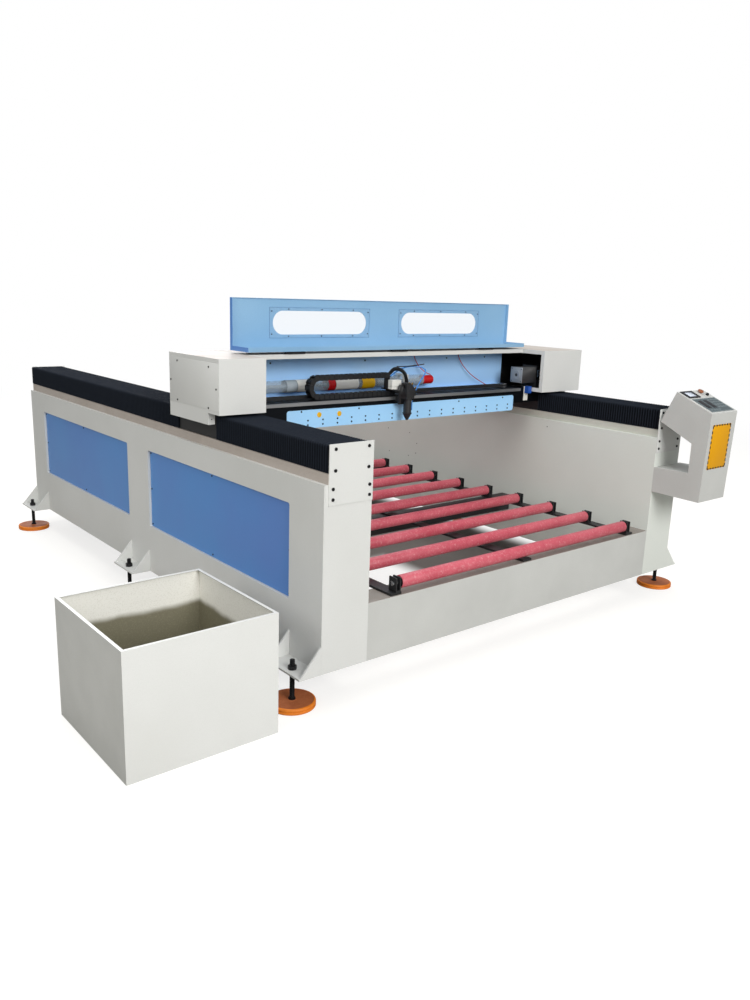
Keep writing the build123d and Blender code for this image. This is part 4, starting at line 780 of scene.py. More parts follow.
frameFacts = {"windows": ((220.0, 1455.0), (1695.0, 2930.0)), "windowZ": (378.0, 760.0), "screwInset": 13.0,
              "panelFace": 12.0, "plateFaces": ((-4.0, -1), (3154.0, 1)),
              "plateScrews": (((45.0, 197.0), (920.0, 998.0)), ((36.0, 204.0), (814.0, 853.0))),
              "innerFace": 220.0, "ledgeAbove": 871.0, "beamTopAbove": 379.0,
              "innerHoles": ((707, 829), (2100, 624), (1878, 623), (1801, 560), (2083, 465), (1880, 465),
                             (1808, 493)),
              "coats": {"side_frame_left": ("creamPowderCoat", "shadedLedgePowderCoat"),
                        "side_frame_right": ("greenishPowderCoat", "shadedPaleLedgeCoat")}}


def facesUp(n):
    return n.z > 0.9


def facesLeft(n):
    return n.x < -0.9


def dressFrame(facts):
    # Painted shade on the walls' ledges and a painted reflection on the beams' tops, in darker coats than
    # their sides.
    for node, coats in facts["coats"].items():
        redress(node, coats, lambda p, n: int(p.z > facts["ledgeAbove"]), "frame", "cream_paint")
    # The beams' sides take the greyer coat as painted shade, their tops a painted reflection.
    redress("cross_beams", ("greyAndShadePowderCoat", "darkReflectionPowderCoat"),
            lambda p, n: int(p.z > facts["beamTopAbove"] and facesUp(n)), "frame", "cream_paint")


def panelPlaces(facts):
    places = []
    z0, z1 = facts["windowZ"]
    inset = facts["screwInset"]
    zs = (z0 + inset, (z0 + z1) / 2, z1 - inset)
    for side in (-1, 1):
        face = mirrored(facts["panelFace"], side)
        for y0, y1 in facts["windows"]:
            ys = (y0 + inset, (y0 + y1) / 2, y1 - inset)
            places += [((face, y, z), (side, 0, 0)) for y in ys for z in zs
                       if not (y == ys[1] and z == zs[1])]
    return places


def platePlaces(facts):
    return [((mirrored(x, side), y, z), (0, way, 0)) for side in (-1, 1) for y, way in facts["plateFaces"]
            for xs, zs in facts["plateScrews"] for x in xs for z in zs]


dressFrame(frameFacts)
scatter("end_plate_screws", platePlaces(frameFacts), "capScrew", "blackOxideSteel", "frame",
        ("frame_screws",))
scatter("side_panel_screws", panelPlaces(frameFacts), "panScrew", "blackOxideSteel", "frame",
        ("frame_screws",))
scatter("inner_wall_plugs", [((mirrored(frameFacts["innerFace"], side), y, z), (-side, 0, 0))
                             for side in (-1, 1) for y, z in frameFacts["innerHoles"]],
        "smallScrew", "blackOxideSteel", "frame")

rollerFacts = {"count": 14, "first": 30.0, "pitch": 237.6923, "z": 424.0, "x": (400.0, 1910.0),
               "radius": 27.0, "bore": 10.6, "wall": 4.5, "recess": 3.0, "chamfer": 1.6, "rim": 0.6,
               "disc": 9.0, "shaft": 10.8}


def dressBrackets(facts):
    # The bare shaft ends in the black brackets.
    def onShaft(p, n):
        away = (p.y - facts["first"] + facts["pitch"] / 2) % facts["pitch"] - facts["pitch"] / 2
        return int(math.hypot(away, p.z - facts["z"]) < facts["shaft"])
    redress("roller_brackets", ("blackStovePaint", "groundSteel"), onShaft, "frame", "black_metal",
            curved=True)


def makeRollers(facts):
    x0, x1 = facts["x"]
    length = x1 - x0
    r, bore, c, deep, rim = (facts[k] for k in ("radius", "bore", "chamfer", "recess", "rim"))
    tube = r - facts["wall"]
    half = [(deep, bore), (deep, tube - 1), (rim, tube), (0, tube + 0.4), (0, r - c), (c * 0.4, r - c * 0.35),
            (c, r)]
    inner = [(length - deep - facts["disc"], bore), (deep + facts["disc"], bore)]
    profile = half + [(length - a, b) for a, b in reversed(half)] + inner + [half[0]]
    # The end discs are dark bearing housings, the rim is bare steel, the rest is the sleeve.
    paints = [1, 2, 2] + [0] * 7 + [2, 2] + [1] * 4
    for i in range(facts["count"]):
        y = facts["first"] + facts["pitch"] * i
        form = bmesh.new()
        addTurned(form, (x0, y, facts["z"]), (1, 0, 0), profile, sides=40, paints=paints)
        node = f"roller_{i + 1:02d}"
        makePiece(node + "_sleeve", form, ("rollerSleeve", "blackStovePaint", "zincPlate"), node, (node,),
                  "roller_red")


dressBrackets(rollerFacts)
makeRollers(rollerFacts)
print("rollers made")

# The pad's rim is given as heights and how far inside its radius each lies, its boss as heights and radii.
footFacts = {"x": (-64.0, 2374.0), "y": (95.0, 1575.0, 3055.0), "pad": 92.0, "stud": 10.0, "threadDepth": 1.2,
             "thread": (32.0, 185.0), "top": 188.0, "pitch": 2.5, "nut": 30.0,
             "rim": ((0, 5), (1, 1.5), (3.5, 0), (8.5, 0), (10.5, 0.8), (11.5, 3), (12.5, 3), (13.5, 0.6),
                     (15, 0), (20, 0), (23, 1.4), (24.4, 4.5), (25, 7.5), (24, 9)),
             "boss": ((23.8, 20), (25, 18.5), (25, 14.2), (24, 13.4), (12.2, 13.4), (12.2, 0)),
             "collar": ((12.4, 0), (12.4, 12.6), (24.5, 12.6), (25, 14), (31, 14), (32, 13)),
             "nuts": (((124.0, 140.0), 12, (138.2, 139.9)), ((148.0, 164.0), 27, (147.7, 149.4))),
             "washer": (10.5, 16.5)}


def makeFeet(facts):
    # Each nut is given as its height, how far it is turned and the height of the washer beside it.
    pads, studs = bmesh.new(), bmesh.new()
    radius, stud = facts["pad"], facts["stud"]
    root = stud - facts["threadDepth"]
    padProfile = [(0, 0)] + [(z, radius - inset) for z, inset in facts["rim"]] + list(facts["boss"])
    # The pad's side is bright, its top and boss are brown.
    padPaints = [0] * 13 + [1] * 7
    studProfile = list(facts["collar"])
    z, threadEnd = facts["thread"]
    studProfile.append((z, root))
    while z < threadEnd:
        studProfile += [(z, root), (z + facts["pitch"] * 0.45, stud), (z + facts["pitch"] * 0.55, stud)]
        z += facts["pitch"]
    studProfile += [(facts["top"] - 2, root), (facts["top"], stud - 3.5), (facts["top"], 0)]
    for x, y in ((x, y) for x in facts["x"] for y in facts["y"]):
        addTurned(pads, (x, y, 0), (0, 0, 1), padProfile, sides=56, paints=padPaints)
        addTurned(studs, (x, y, 0), (0, 0, 1), studProfile, sides=16)
        for depth, turn, (low, high) in facts["nuts"]:
            addPrism(studs, hexagon(x, y, facts["nut"], turn), "z", depth, edge=1.0)
            bore, rim = facts["washer"]
            addTurned(studs, (x, y, 0), (0, 0, 1), [(low, bore), (low, rim), (high, rim), (high, bore),
                                                    (low, bore)])
    makePiece("levelling_pads", pads, ("castOrangeRubber", "brownPadTop"), "frame", ("foot_pads",),
              "orange_rubber")
    makePiece("levelling_studs", studs, ("blackOxideSteel",), "frame", ("foot_studs",), "black_steel")


makeFeet(footFacts)
print("feet made")

# A pleat is given as shares of its pitch and how far in its cloth lies there, as a share of the fold's depth.
bellowsFacts = {
    "x": (14.0, 206.0), "z": (912.0, 1014.0), "corner": 7.0, "sheet": 1.6, "fold": 7.0,
    "pleat": ((0.0, 0.0), (0.14, 0.0), (0.5, 1.0), (0.64, 1.0), (1.0, 0.0)),
    "runs": {"front": {"fixed": 0.5, "moving": 798.5, "pleats": 54, "node": "front_bellows"},
             "rear": {"fixed": 3149.5, "moving": 1141.5, "pleats": 134, "node": "rear_bellows"}},
    "shares": (0, 0.04, 0.09, 0.15, 0.22, 0.29, 0.36, 0.43, 0.5, 0.57, 0.64, 0.71, 0.78, 0.85, 0.91, 0.96, 1),
}


def smoothStepInverse(w):
    low, high = 0.0, 1.0
    for _ in range(60):
        mid = (low + high) / 2
        if mid * mid * (3 - 2 * mid) < w:
            low = mid
        else:
            high = mid
    return (low + high) / 2


def stretchAcross(piece, still, moving, axis, at0, at1, share0, share1):
    # Works out where this stretch of a run would start and end to take its own share of the travel, share0 at
    # at0 and share1 at at1, then fixes the piece's transform into its mesh; the worked-out ends are not used.
    t0, t1 = smoothStepInverse(share0), smoothStepInverse(share1)
    span = (at1 - at0) / (t1 - t0)
    start = at0 - t0 * span
    a, b = [0.0, 0.0, 0.0], [0.0, 0.0, 0.0]
    shift = leftEdge if axis == 0 else frontEdge
    a[axis], b[axis] = (start + shift) / 1000, (start + span + shift) / 1000
    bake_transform(piece)


def pleatPair(name, facts, pitch, at):
    # A pleat on either wall, from one place along the machine.
    form = bmesh.new()
    for side in (-1, 1):
        part = pleatSkin(facts, pitch, side)
        part.transform(Matrix.Translation((0, at, 0)))
        spare = newMesh("spare", part)
        form.from_mesh(spare)
        bpy.data.meshes.remove(spare)
    form.transform(toFrame)
    return newMesh(name, form)


def makeBellows(facts):
    for run, info in facts["runs"].items():
        way = 1 if info["moving"] > info["fixed"] else -1
        pitch = abs(info["moving"] - info["fixed"]) / info["pleats"]
        marks = sorted({round(share * info["pleats"]) for share in facts["shares"]})
        for n, (m0, m1) in enumerate(zip(marks, marks[1:])):
            at0 = info["fixed"] + way * m0 * pitch
            at1 = info["fixed"] + way * m1 * pitch
            piece = grow(f"{run}_bellows_{n + 1:02d}", rowTree,
                         pleatPair(f"{run}_pleat", facts, pitch, min(at0, at1)),
                         {"Count": m1 - m0, "Step": (0, pitch / 1000, 0), "Finish": finishes["bellowsCloth"]},
                         None, smooth=False)
            piece.data.shade_flat()
            stretchAcross(piece, "frame", "gantry", 1, at0, at1, m0 / info["pleats"], m1 / info["pleats"])
            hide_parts(info["node"])
            # Both walls' cloth, laid out flat: round the section by the folds' opened length.
            2 * (m1 - m0) * openedPleat(facts, pitch) / 1000


def openedPleat(facts, pitch):
    pleat = facts["pleat"]
    return sum(math.hypot((b - a) * pitch, (t - s) * facts["fold"])
               for (a, s), (b, t) in zip(pleat, pleat[1:]))


def pleatSkin(facts, pitch, side):
    # A pleat of coated cloth, closed at its lower hems so that it has a thickness all round.
    x0, x1 = facts["x"]
    z0, z1 = facts["z"]
    r, sheet = facts["corner"], facts["sheet"]
    form = bmesh.new()
    crest = form.verts.layers.float.new("crest")

    def outline(sink, inner):
        s = sink * facts["fold"] + (sheet if inner else 0)
        pts = [(x0 + s, z0), (x0 + s, z1 - s - r)]
        for k in (1, 2):
            a = math.radians(30 * k)
            pts.append((x0 + s + r - r * math.cos(a), z1 - s - r + r * math.sin(a)))
        pts.append((x0 + s + r, z1 - s))
        return pts + [(x0 + x1 - x, z) for x, z in reversed(pts)]
    rows = []
    for share, sink in facts["pleat"]:
        ring = outline(sink, False) + outline(sink, True)[::-1]
        row = []
        for x, z in ring:
            v = form.verts.new((mirrored(x, side), share * pitch, z))
            v[crest] = 1.0 - sink
            row.append(v)
        rows.append(row)
    count = len(rows[0])
    for low, high in zip(rows, rows[1:]):
        for i in range(count):
            j = (i + 1) % count
            quad = (low[i], low[j], high[j], high[i])
            form.faces.new(quad if side < 0 else quad[::-1])
    return form


makeBellows(bellowsFacts)
print("bellows made")

boxFacts = {"hollows": {"end_box_left": (-24.0, 197.0), "end_box_right": (2009.0, 2334.0)},
            "hollowY": (702.0, 1141.0), "hollowZ": (1030.0, 1256.0), "topAbove": 1257.0, "outer": -26.0,
            "cover": {"y": (704.5, 1138.5), "z": (1043.0, 1239.0), "thick": 1.2},
            "screws": ((1063, 1225), (783, 1221), (1127, 1138), (721, 1134), (1067, 1054), (788, 1050))}


def isInside(p, n, spans, step):
    # Tells whether a face looks into a hollow, by where a short step off it leads.
    return all(low < c < high for c, (low, high) in zip(p + n * step, spans))


def dressBoxes(facts):
    # Painted shade inside the drive boxes in dark grey, and tops a shade browner than the sides as a painted
    # reflection.
    for node, hollow in facts["hollows"].items():
        spans = [(low - 1, high + 1) for low, high in (hollow, facts["hollowY"], facts["hollowZ"])]

        def rule(p, n):
            return 2 if isInside(p, n, spans, 4) else int(p.z > facts["topAbove"] and facesUp(n))
        redress(node, ("creamPowderCoat", "brownReflectionPowderCoat", "paintedShadeGrey"), rule, "gantry", "cream_paint")


def makeBoxCovers(facts):
    # The screwed cover on each drive box's outer side, a sheet's thickness proud with a fine seam round it.
    form = bmesh.new()
    places = []
    cover = facts["cover"]
    for side in (-1, 1):
        face = mirrored(facts["outer"], side)
        addBox(form, sorted((face + side * 0.1, face + side * cover["thick"])), cover["y"], cover["z"],
               edge=0.5)
        places += [((face + side * cover["thick"], y, z), (side, 0, 0)) for y, z in facts["screws"]]
    makePiece("drive_box_covers", form, ("creamPowderCoat",), "gantry", slot="cream_paint")
    scatter("drive_box_screws", places, "panScrew", "blackOxideSteel", "gantry")


dressBoxes(boxFacts)
makeBoxCovers(boxFacts)

hoodFacts = {"roofTopAbove": 1257.0, "fixedHingeAbove": 1258.3, "movingHingeBelow": 1269.8,
             "lipAbove": 1498.0, "leftEdgeBefore": 204.0, "backPanelBehind": 900.0}


def dressHood(facts):
    # Black hinges, a painted highlight along the top lip in the paler enamel, and painted shade on the left
    # edge in the darker panel enamel.
    def roofPaint(p, n):
        return 2 if p.z > facts["fixedHingeAbove"] else int(p.z > facts["roofTopAbove"] and facesUp(n))

    def hoodPaint(p, n):
        if p.z < facts["movingHingeBelow"]:
            return 1
        if facesUp(n) and p.z > facts["lipAbove"]:
            return 2
        return 3 if facesLeft(n) and p.x < facts["leftEdgeBefore"] else 0
    redress("gantry_roof", ("creamPowderCoat", "brownReflectionPowderCoat", "blackOxideSteel"), roofPaint, "gantry",
            "cream_paint")
    redress("hood", ("skyBlueEnamel", "blackOxideSteel", "paleBlueHighlightEnamel", "panelBlueEnamel"), hoodPaint,
            "hood", "light_blue_paint")
    # The back panel takes the brighter blue, painted light.
    redress("gantry_panels", ("paleBlueHighlightEnamel", "litBackPanelEnamel"),
            lambda p, n: int(p.y > facts["backPanelBehind"]), "gantry", "light_blue_paint")


dressHood(hoodFacts)

paneFacts = {"x": (701.0, 1485.0), "half": 295.0, "y": (1001.0, 1004.0), "z": (1321.0, 1461.0),
             "axisZ": 1391.0, "screws": ((283, 52), (190, 62), (0, 62)),
             "backScrews": (420.0, 985.0, 1560.0, 1860.0)}


def makePanes(facts):
    form = bmesh.new()
    places = []
    for x in facts["x"]:
        addBox(form, (x - facts["half"], x + facts["half"]), facts["y"], facts["z"], edge=0.9, trim=1)
        spots = {(s * a, t * b) for a, b in facts["screws"] for s in (-1, 1) for t in (-1, 1)}
        places += [((x + a, facts["y"][0], facts["axisZ"] + b), (0, -1, 0)) for a, b in sorted(spots)]
    makePiece("window_sheets", form, ("clearAcrylic", "acrylicEdge"), "hood", ("window_panes",), "clear_pane",
              smooth=False)
    scatter("window_screws", places, "smallScrew", "blackOxideSteel", "hood")
    scatter("back_panel_screws", [((x, 1015.0, 1205.0), (0, -1, 0)) for x in facts["backScrews"]], "panScrew",
            "blackOxideSteel", "gantry")


makePanes(paneFacts)

plateFacts = {"face": 798.0, "first": 485.4, "pitch": 84.6, "count": 17, "rows": (961.0, 940.0),
              "top": ((449, 1003), (782, 1000), (1455, 998), (1795, 1001)),
              "discs": ((549, 984), (665, 982)), "discRadius": 12.5}


def makePlateTrim(facts):
    # The lower plate's rows of screws, and two plain yellow discs.
    places = [((facts["first"] + facts["pitch"] * i, facts["face"], z), (0, -1, 0))
              for i in range(facts["count"]) for z in facts["rows"]]
    places += [((x, facts["face"], z), (0, -1, 0)) for x, z in facts["top"]]
    scatter("lower_plate_screws", places, "panScrew", "blackOxideSteel", "gantry")
    form = bmesh.new()
    r = facts["discRadius"]
    for x, z in facts["discs"]:
        addTurned(form, (x, facts["face"], z), (0, -1, 0), [(0, r), (0.4, r), (0.6, r - 0.5), (0.6, 0)],
                  sides=28)
    makePiece("plain_discs", form, ("yellowVinyl",), "gantry", slot="orange_rubber")


makePlateTrim(plateFacts)

tubeFacts = {"y": 965.0, "z": 1100.0, "x": (70.0, 1330.0), "radius": 29.0, "wall": 2.4, "bore": 9.0,
             "electrodes": ((118.0, 250.0), (1020.0, 1160.0)), "electrodeRadius": 19.0,
             "bands": ((464, 522, "paleSleeve"), (524, 606, "whiteVinyl"), (705, 747, "redSilicone"),
                       (749, 889, "whiteVinyl"), (912, 993, "yellowVinyl"))}


def makeTube(facts):
    # A water-cooled glass tube: outer jacket, inner bore, the metal electrodes and plain bands round it.
    x0, x1 = facts["x"]
    y, z, r, wall, bore = (facts[k] for k in ("y", "z", "radius", "wall", "bore"))
    length = x1 - x0
    jacket = [(0, bore), (0, r - 4), (1.2, r - 1.4), (4, r)]
    jacket = jacket + [(length - a, b) for a, b in reversed(jacket)]
    jacket += [(length - wall, bore), (length - wall, r - wall), (wall, r - wall), (wall, bore), jacket[0]]
    glass, metal = bmesh.new(), bmesh.new()
    addTurned(glass, (x0, y, z), (1, 0, 0), jacket, sides=40)
    core = [(wall + 1, bore - 0.1), (length - wall - 1, bore - 0.1), (length - wall - 1, bore - 2),
            (wall + 1, bore - 2), (wall + 1, bore - 0.1)]
    addTurned(glass, (x0, y, z), (1, 0, 0), core, sides=24)
    e = facts["electrodeRadius"]
    for a, b in facts["electrodes"]:
        addTurned(metal, (a, y, z), (1, 0, 0), [(0, e), (1.5, e + 1.5), (3, e), (b - a - 3, e),
                                                (b - a - 1.5, e + 1.5), (b - a, e), (b - a, e - 1),
                                                (0, e - 1), (0, e)], sides=32)
    makePiece("tube_glass", glass, ("tubeGlass",), "gantry", ("laser_tube",), "clear_glass")
    makePiece("tube_electrodes", metal, ("zincPlate",), "gantry", slot="zinc")
    names = sorted({name for _, _, name in facts["bands"]})
    bands = bmesh.new()
    for a, b, name in facts["bands"]:
        ring = [(0, r + 0.15), (0.3, r + 0.6), (b - a - 0.3, r + 0.6), (b - a, r + 0.15), (0, r + 0.15)]
        addTurned(bands, (a, y, z), (1, 0, 0), ring, sides=40, paint=names.index(name))
    makePiece("tube_bands", bands, names, "gantry", slot="white_plastic")


makeTube(tubeFacts)

motorFacts = {"rear": 1940.0, "y": 835.0, "z": 1117.0, "half": 43.0, "corner": 9.0, "screw": 34.0,
              "capX": (1900.0, 1952.0), "capBefore": 900.0, "switchBehind": 796.5}


def makeMotorFace(facts):
    # The stepper's cast rear cap, its bearing boss and the four long screws.
    form = bmesh.new()
    x0, y, z, h, c, screw = (facts[k] for k in ("rear", "y", "z", "half", "corner", "screw"))
    outline = [(y - h, z - h + c), (y - h, z + h - c), (y - h + c, z + h), (y + h - c, z + h),
               (y + h, z + h - c), (y + h, z - h + c), (y + h - c, z - h), (y - h + c, z - h)]
    addPrism(form, outline, "x", (x0 - 0.8, x0 + 0.6), edge=0.6)
    addTurned(form, (x0 - 0.7, y, z), (-1, 0, 0), [(0, 26), (1.5, 25), (1.5, 15), (0.6, 14), (0.6, 0)],
              sides=32)
    addTurned(form, (x0 - 0.7, y, z), (-1, 0, 0), [(0, 9), (2.2, 8.4), (2.2, 0)], sides=20, paint=1)
    makePiece("motor_rear_cap", form, ("motorCastGrey", "motorEnamel"), "gantry", slot="motor_grey")
    scatter("motor_screws", [((x0 - 0.8, y + s * screw, z + t * screw), (-1, 0, 0))
                             for s in (-1, 1) for t in (-1, 1)], "smallScrew", "blackOxideSteel", "gantry")


def dressMotors(facts):
    # The cast caps of the head drive's motor.
    redress("motors", ("motorEnamel", "motorCastGrey"),
            lambda p, n: int(facts["capX"][0] < p.x < facts["capX"][1] and p.y < facts["capBefore"]),
            "gantry", "motor_grey", curved=True)


def dressSwitch(facts):
    # The bright bracket of the limit switch.
    redress("limit_switch", ("bluePlastic", "whiteNylon"), lambda p, n: int(p.y > facts["switchBehind"]),
            "gantry", "blue_plastic")


dressMotors(motorFacts)
makeMotorFace(motorFacts)
dressSwitch(motorFacts)

headFacts = {"holder": ((1007.0, 1059.0), (710.0, 753.5), (986.0, 990.0)), "raised": 1041.0,
             "brass": {"slantAbove": 2150.6, "before": 752.0, "rightOf": 1020.0}}


def dressHead(facts):
    brass = facts["brass"]

    def headPaint(p, n):
        # The brass mirror cap on the head's slanting corner.
        return int(p.x + p.z > brass["slantAbove"] and p.y < brass["before"] and p.x > brass["rightOf"])
    piece = redress("laser_head", ("blackStovePaint", "turnedBrass"), headPaint, "carriage", "black_metal",
                    curved=True)
    # The holder clasps only the top of the lens tube, so the turned tube shows below it.
    for v in piece.data.vertices:
        p = fromFrame @ v.co
        if all(low < c < high for c, (low, high) in zip(p, facts["holder"])):
            p.z = facts["raised"]
            v.co = toFrame @ p


dressHead(headFacts)

headHose = {"node": "head_hoses", "body": "carriage", "stiffness": "stiff", "lay": "loose"}
tubeWire = {"radius": 2.1, "finish": "redWire", "slot": "red_rubber", "node": "tube_wires", "body": "gantry",
            "farEnd": "object", "stiffness": "medium", "lay": "hanging"}
hoseFacts = {
    "head_conduit": {**headHose, "radius": 9.4, "ring": 2.4, "length": 0.145, "finish": "blackRubberHose",
                     "slot": "black_rubber", "farEnd": "object",
                     "points": ((986, 822, 1154.5), (1002, 818, 1176), (1026, 810, 1182), (1056, 796, 1168),
                                (1066, 786, 1140), (1062, 776, 1109))},
    "head_air_hose": {**headHose, "radius": 3.2, "length": 0.45, "finish": "blueHose", "slot": "blue_plastic",
                      "farEnd": "object",
                      "points": ((1006, 839, 1140), (1050, 840, 1168), (1110, 826, 1189), (1154, 800, 1189),
                                 (1188, 785, 1179), (1184, 772, 1160), (1140, 762, 1120), (1100, 748, 1080),
                                 (1074, 740, 1056), (1063, 734, 1030), (1061.5, 732, 1000),
                                 (1061.5, 732, 984))},
    "head_lead": {**headHose, "radius": 2.6, "length": 0.18, "finish": "blackRubberHose",
                  "slot": "black_rubber", "farEnd": "bare",
                  "points": ((1014, 800, 1192), (1090, 806, 1188), (1195, 800, 1199))},
    "tube_wire_cap": {**tubeWire, "length": 0.165,
                      "points": ((1312, 1012.8, 1240), (1314, 1008, 1212), (1330, 985, 1165),
                                 (1372, 965, 1130), (1398, 965, 1125.5))},
    "tube_wire_deck": {**tubeWire, "length": 0.288,
                       "points": ((1640, 1012.8, 1240), (1642, 1008, 1211), (1680, 995, 1150),
                                  (1760, 985, 1090), (1840, 972, 1052.2))},
}


def makeRoute(name, points, radius=0.0):
    # A smooth line whose control points are the route's own.
    curve = bpy.data.curves.new(name, "CURVE")
    curve.dimensions, curve.resolution_u, curve.use_fill_caps = "3D", 16, True
    curve.bevel_depth, curve.bevel_resolution = radius / 1000, 3
    spline = curve.splines.new("NURBS")
    spline.points.add(len(points) - 1)
    for knot, p in zip(spline.points, points):
        knot.co = (*(toFrame @ Vector(p)), 1)
    spline.order_u, spline.use_endpoint_u = 3, True
    return newObject(name, curve)


def evenPoints(line, step):
    # Places at an even distance along a line's own points.
    length = sum((q - p).length for p, q in zip(line, line[1:]))
    count = max(3, round(length / step))
    out, walked, target = [line[0]], 0.0, length / count
    for p, q in zip(line, line[1:]):
        gap = (q - p).length
        while gap and walked + gap >= target and len(out) < count:
            out.append(p.lerp(q, (target - walked) / gap))
            target += length / count
        walked += gap
    return out + [line[-1]]


def makeHose(name, facts):
    piece, path = makeRoute(name, facts["points"], 0 if "ring" in facts else facts["radius"]), None
    if "ring" in facts:
        # Rings moulded round the conduit, along points read from its route.
        mesh = meshOf(piece)
        line = evenPoints([v.co.copy() for v in mesh.vertices], facts["ring"] / 2000)
        bpy.data.objects.remove(piece)
        bpy.data.meshes.remove(mesh)
        form = bmesh.new()
        addTube(form, [fromFrame @ p for p in line], facts["radius"], 14, lambda i: 1.0 if i % 2 else 0.86)
        piece, path = makePiece(name, form, (facts["finish"],), None), [tuple(p) for p in line]
    else:
        piece.data.materials.append(finishes[facts["finish"]])
    seat(piece, facts["body"], (facts["node"],), facts["slot"])
    tuple(toFrame @ Vector(facts["points"][0]))
    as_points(path)


for name, facts in hoseFacts.items():
    makeHose(name, facts)
print("gantry made")


def makeChain(facts):
    # The straight runs give and take links at the bend, so each is cut into stretches.
    bend, y, up = facts["bendX"], facts["y"], (0, 0, 1)
    runs = (("lower", "chain_lower", "gantry", "chain_loop", facts["fixedX"], bend, facts["lowZ"]),
            ("upper", "chain_upper", "chain_loop", "carriage", bend, facts["headX"], facts["highZ"]))
    for name, node, still, moving, start, end, z in runs:
        count = round(abs(end - start) / facts["pitch"])
        step = (end - start) / count
        marks = sorted({round(share * count) for share in facts["shares"]})
        for n, (m0, m1) in enumerate(zip(marks, marks[1:])):
            places = [((start + (k + 0.5) * step, y, z), up) for k in range(m0, m1)]
            piece = scatter(f"chain_{name}_{n + 1}", places, "chainLink", "mouldedNylon", None, (node,),
                            "black_plastic")
            stretchAcross(piece, still, moving, 0, start + m0 * step, start + m1 * step, m0 / count,
                          m1 / count)
    middle = (facts["lowZ"] + facts["highZ"]) / 2
    places = []
    for k in range(facts["bendLinks"]):
        turn = math.radians(90 + 180 * (k + 0.5) / facts["bendLinks"])
        way = (math.cos(turn), 0, math.sin(turn))
        places.append(((bend + facts["radius"] * way[0], y, middle + facts["radius"] * way[2]), way))
    scatter("chain_bend_links", places, "chainLink", "mouldedNylon", "chain_loop", ("chain_bend",),
            "black_plastic")


makeChain(chainFacts)
print("chain made")

consoleFacts = {"back": (-80.0, 1113.0), "front": (-277.0, 1029.0), "foot": (-264.0, 586.0)}


def slopingFace(low, high):
    # Lays a flat drawing on the console's face between two of its corners, with its origin at the upper one.
    angle = math.atan2(high[1] - low[1], high[0] - low[0])
    return Matrix.Translation((0, *high)) @ Matrix.Rotation(angle, 4, "X")


topFace = slopingFace(consoleFacts["front"], consoleFacts["back"])
frontFace = slopingFace(consoleFacts["foot"], consoleFacts["front"])

panelFacts = {
    "display": {"middle": (2158.0, -36.0), "size": (104.0, 62.0), "thick": 4.0, "bezel": (20.0, 11.0)},
    "keypad": {"middle": (2214.0, -140.0), "size": (206.0, 124.0), "thick": 2.0,
               "windows": ((2148.0, -132.0, 42.0, 78.0), (2198.0, -132.0, 42.0, 78.0)),
               "keys": (2236.0, -96.0, 4, 4, 21.0, 22.0), "keySize": (15.0, 13.0),
               "row": {"x": (2136.0, 2160.0, 2184.0, 2208.0), "half": 9.0, "y": (-189.0, -179.0)}},
}


def addFrame(form, middle, size, bar, z, paint):
    # Four bars round an opening.
    (mx, my), (w, h), (bx, by) = middle, size, bar
    for s in (-1, 1):
        xs = sorted((mx + s * w / 2, mx + s * (w / 2 - bx)))
        addBox(form, xs, (my - h / 2, my + h / 2), z, paint, edge=0.5)
        ys = sorted((my + s * h / 2, my + s * (h / 2 - by)))
        addBox(form, (mx - w / 2 + bx - 0.5, mx + w / 2 - bx + 0.5), ys, z, paint, edge=0.5)


def makePanels(facts):
    display, keypad = facts["display"], facts["keypad"]
    form = bmesh.new()
    (mx, my), (w, h), t = display["middle"], display["size"], display["thick"]
    addBox(form, (mx - w / 2 + 1, mx + w / 2 - 1), (my - h / 2 + 1, my + h / 2 - 1), (0.05, t - 2), 0)
    addFrame(form, display["middle"], display["size"], display["bezel"], (0.05, t), 0)
    addBox(form, (mx - w / 2 + 22, mx + w / 2 - 22), (my - h / 2 + 12, my + h / 2 - 12), (t - 2.2, t - 1.2),
           1, edge=0.3)
    (mx, my), (w, h), t = keypad["middle"], keypad["size"], keypad["thick"]
    addBox(form, (mx - w / 2, mx + w / 2), (my - h / 2, my + h / 2), (0.05, t - 0.6), 2, edge=0.5)
    addFrame(form, keypad["middle"], keypad["size"], (7.0, 7.0), (0.1, t), 3)
    for wx, wy, ww, wh in keypad["windows"]:
        addFrame(form, (wx, wy), (ww, wh), (2.0, 2.0), (t - 0.7, t), 3)
        addBox(form, (wx - ww / 2 + 2, wx + ww / 2 - 2), (wy - wh / 2 + 2, wy + wh / 2 - 2),
               (t - 0.7, t - 0.3), 0, edge=0.15)
    kx, ky, across, down, dx, dy = keypad["keys"]
    kw, kh = keypad["keySize"]
    for i in range(across):
        for j in range(down):
            x, y = kx + dx * i, ky - dy * j
            addBox(form, (x - kw / 2, x + kw / 2), (y - kh / 2, y + kh / 2), (t - 0.7, t - 0.05), 3, edge=0.3)
    row = keypad["row"]
    for x in row["x"]:
        addBox(form, (x - row["half"], x + row["half"]), row["y"], (t - 0.7, t - 0.05), 3, edge=0.3)
    makePiece("console_panels", form, ("darkPanelPlastic", "paleDisplay", "slateMembrane", "greyKeyPlastic"),
              "frame", ("console_panel",), "dark_plastic", turn=topFace)


makePanels(panelFacts)

buttonFacts = {"stop": (2266.0, -24.0), "knob": (2290.0, -52.0), "travel": 5.0}


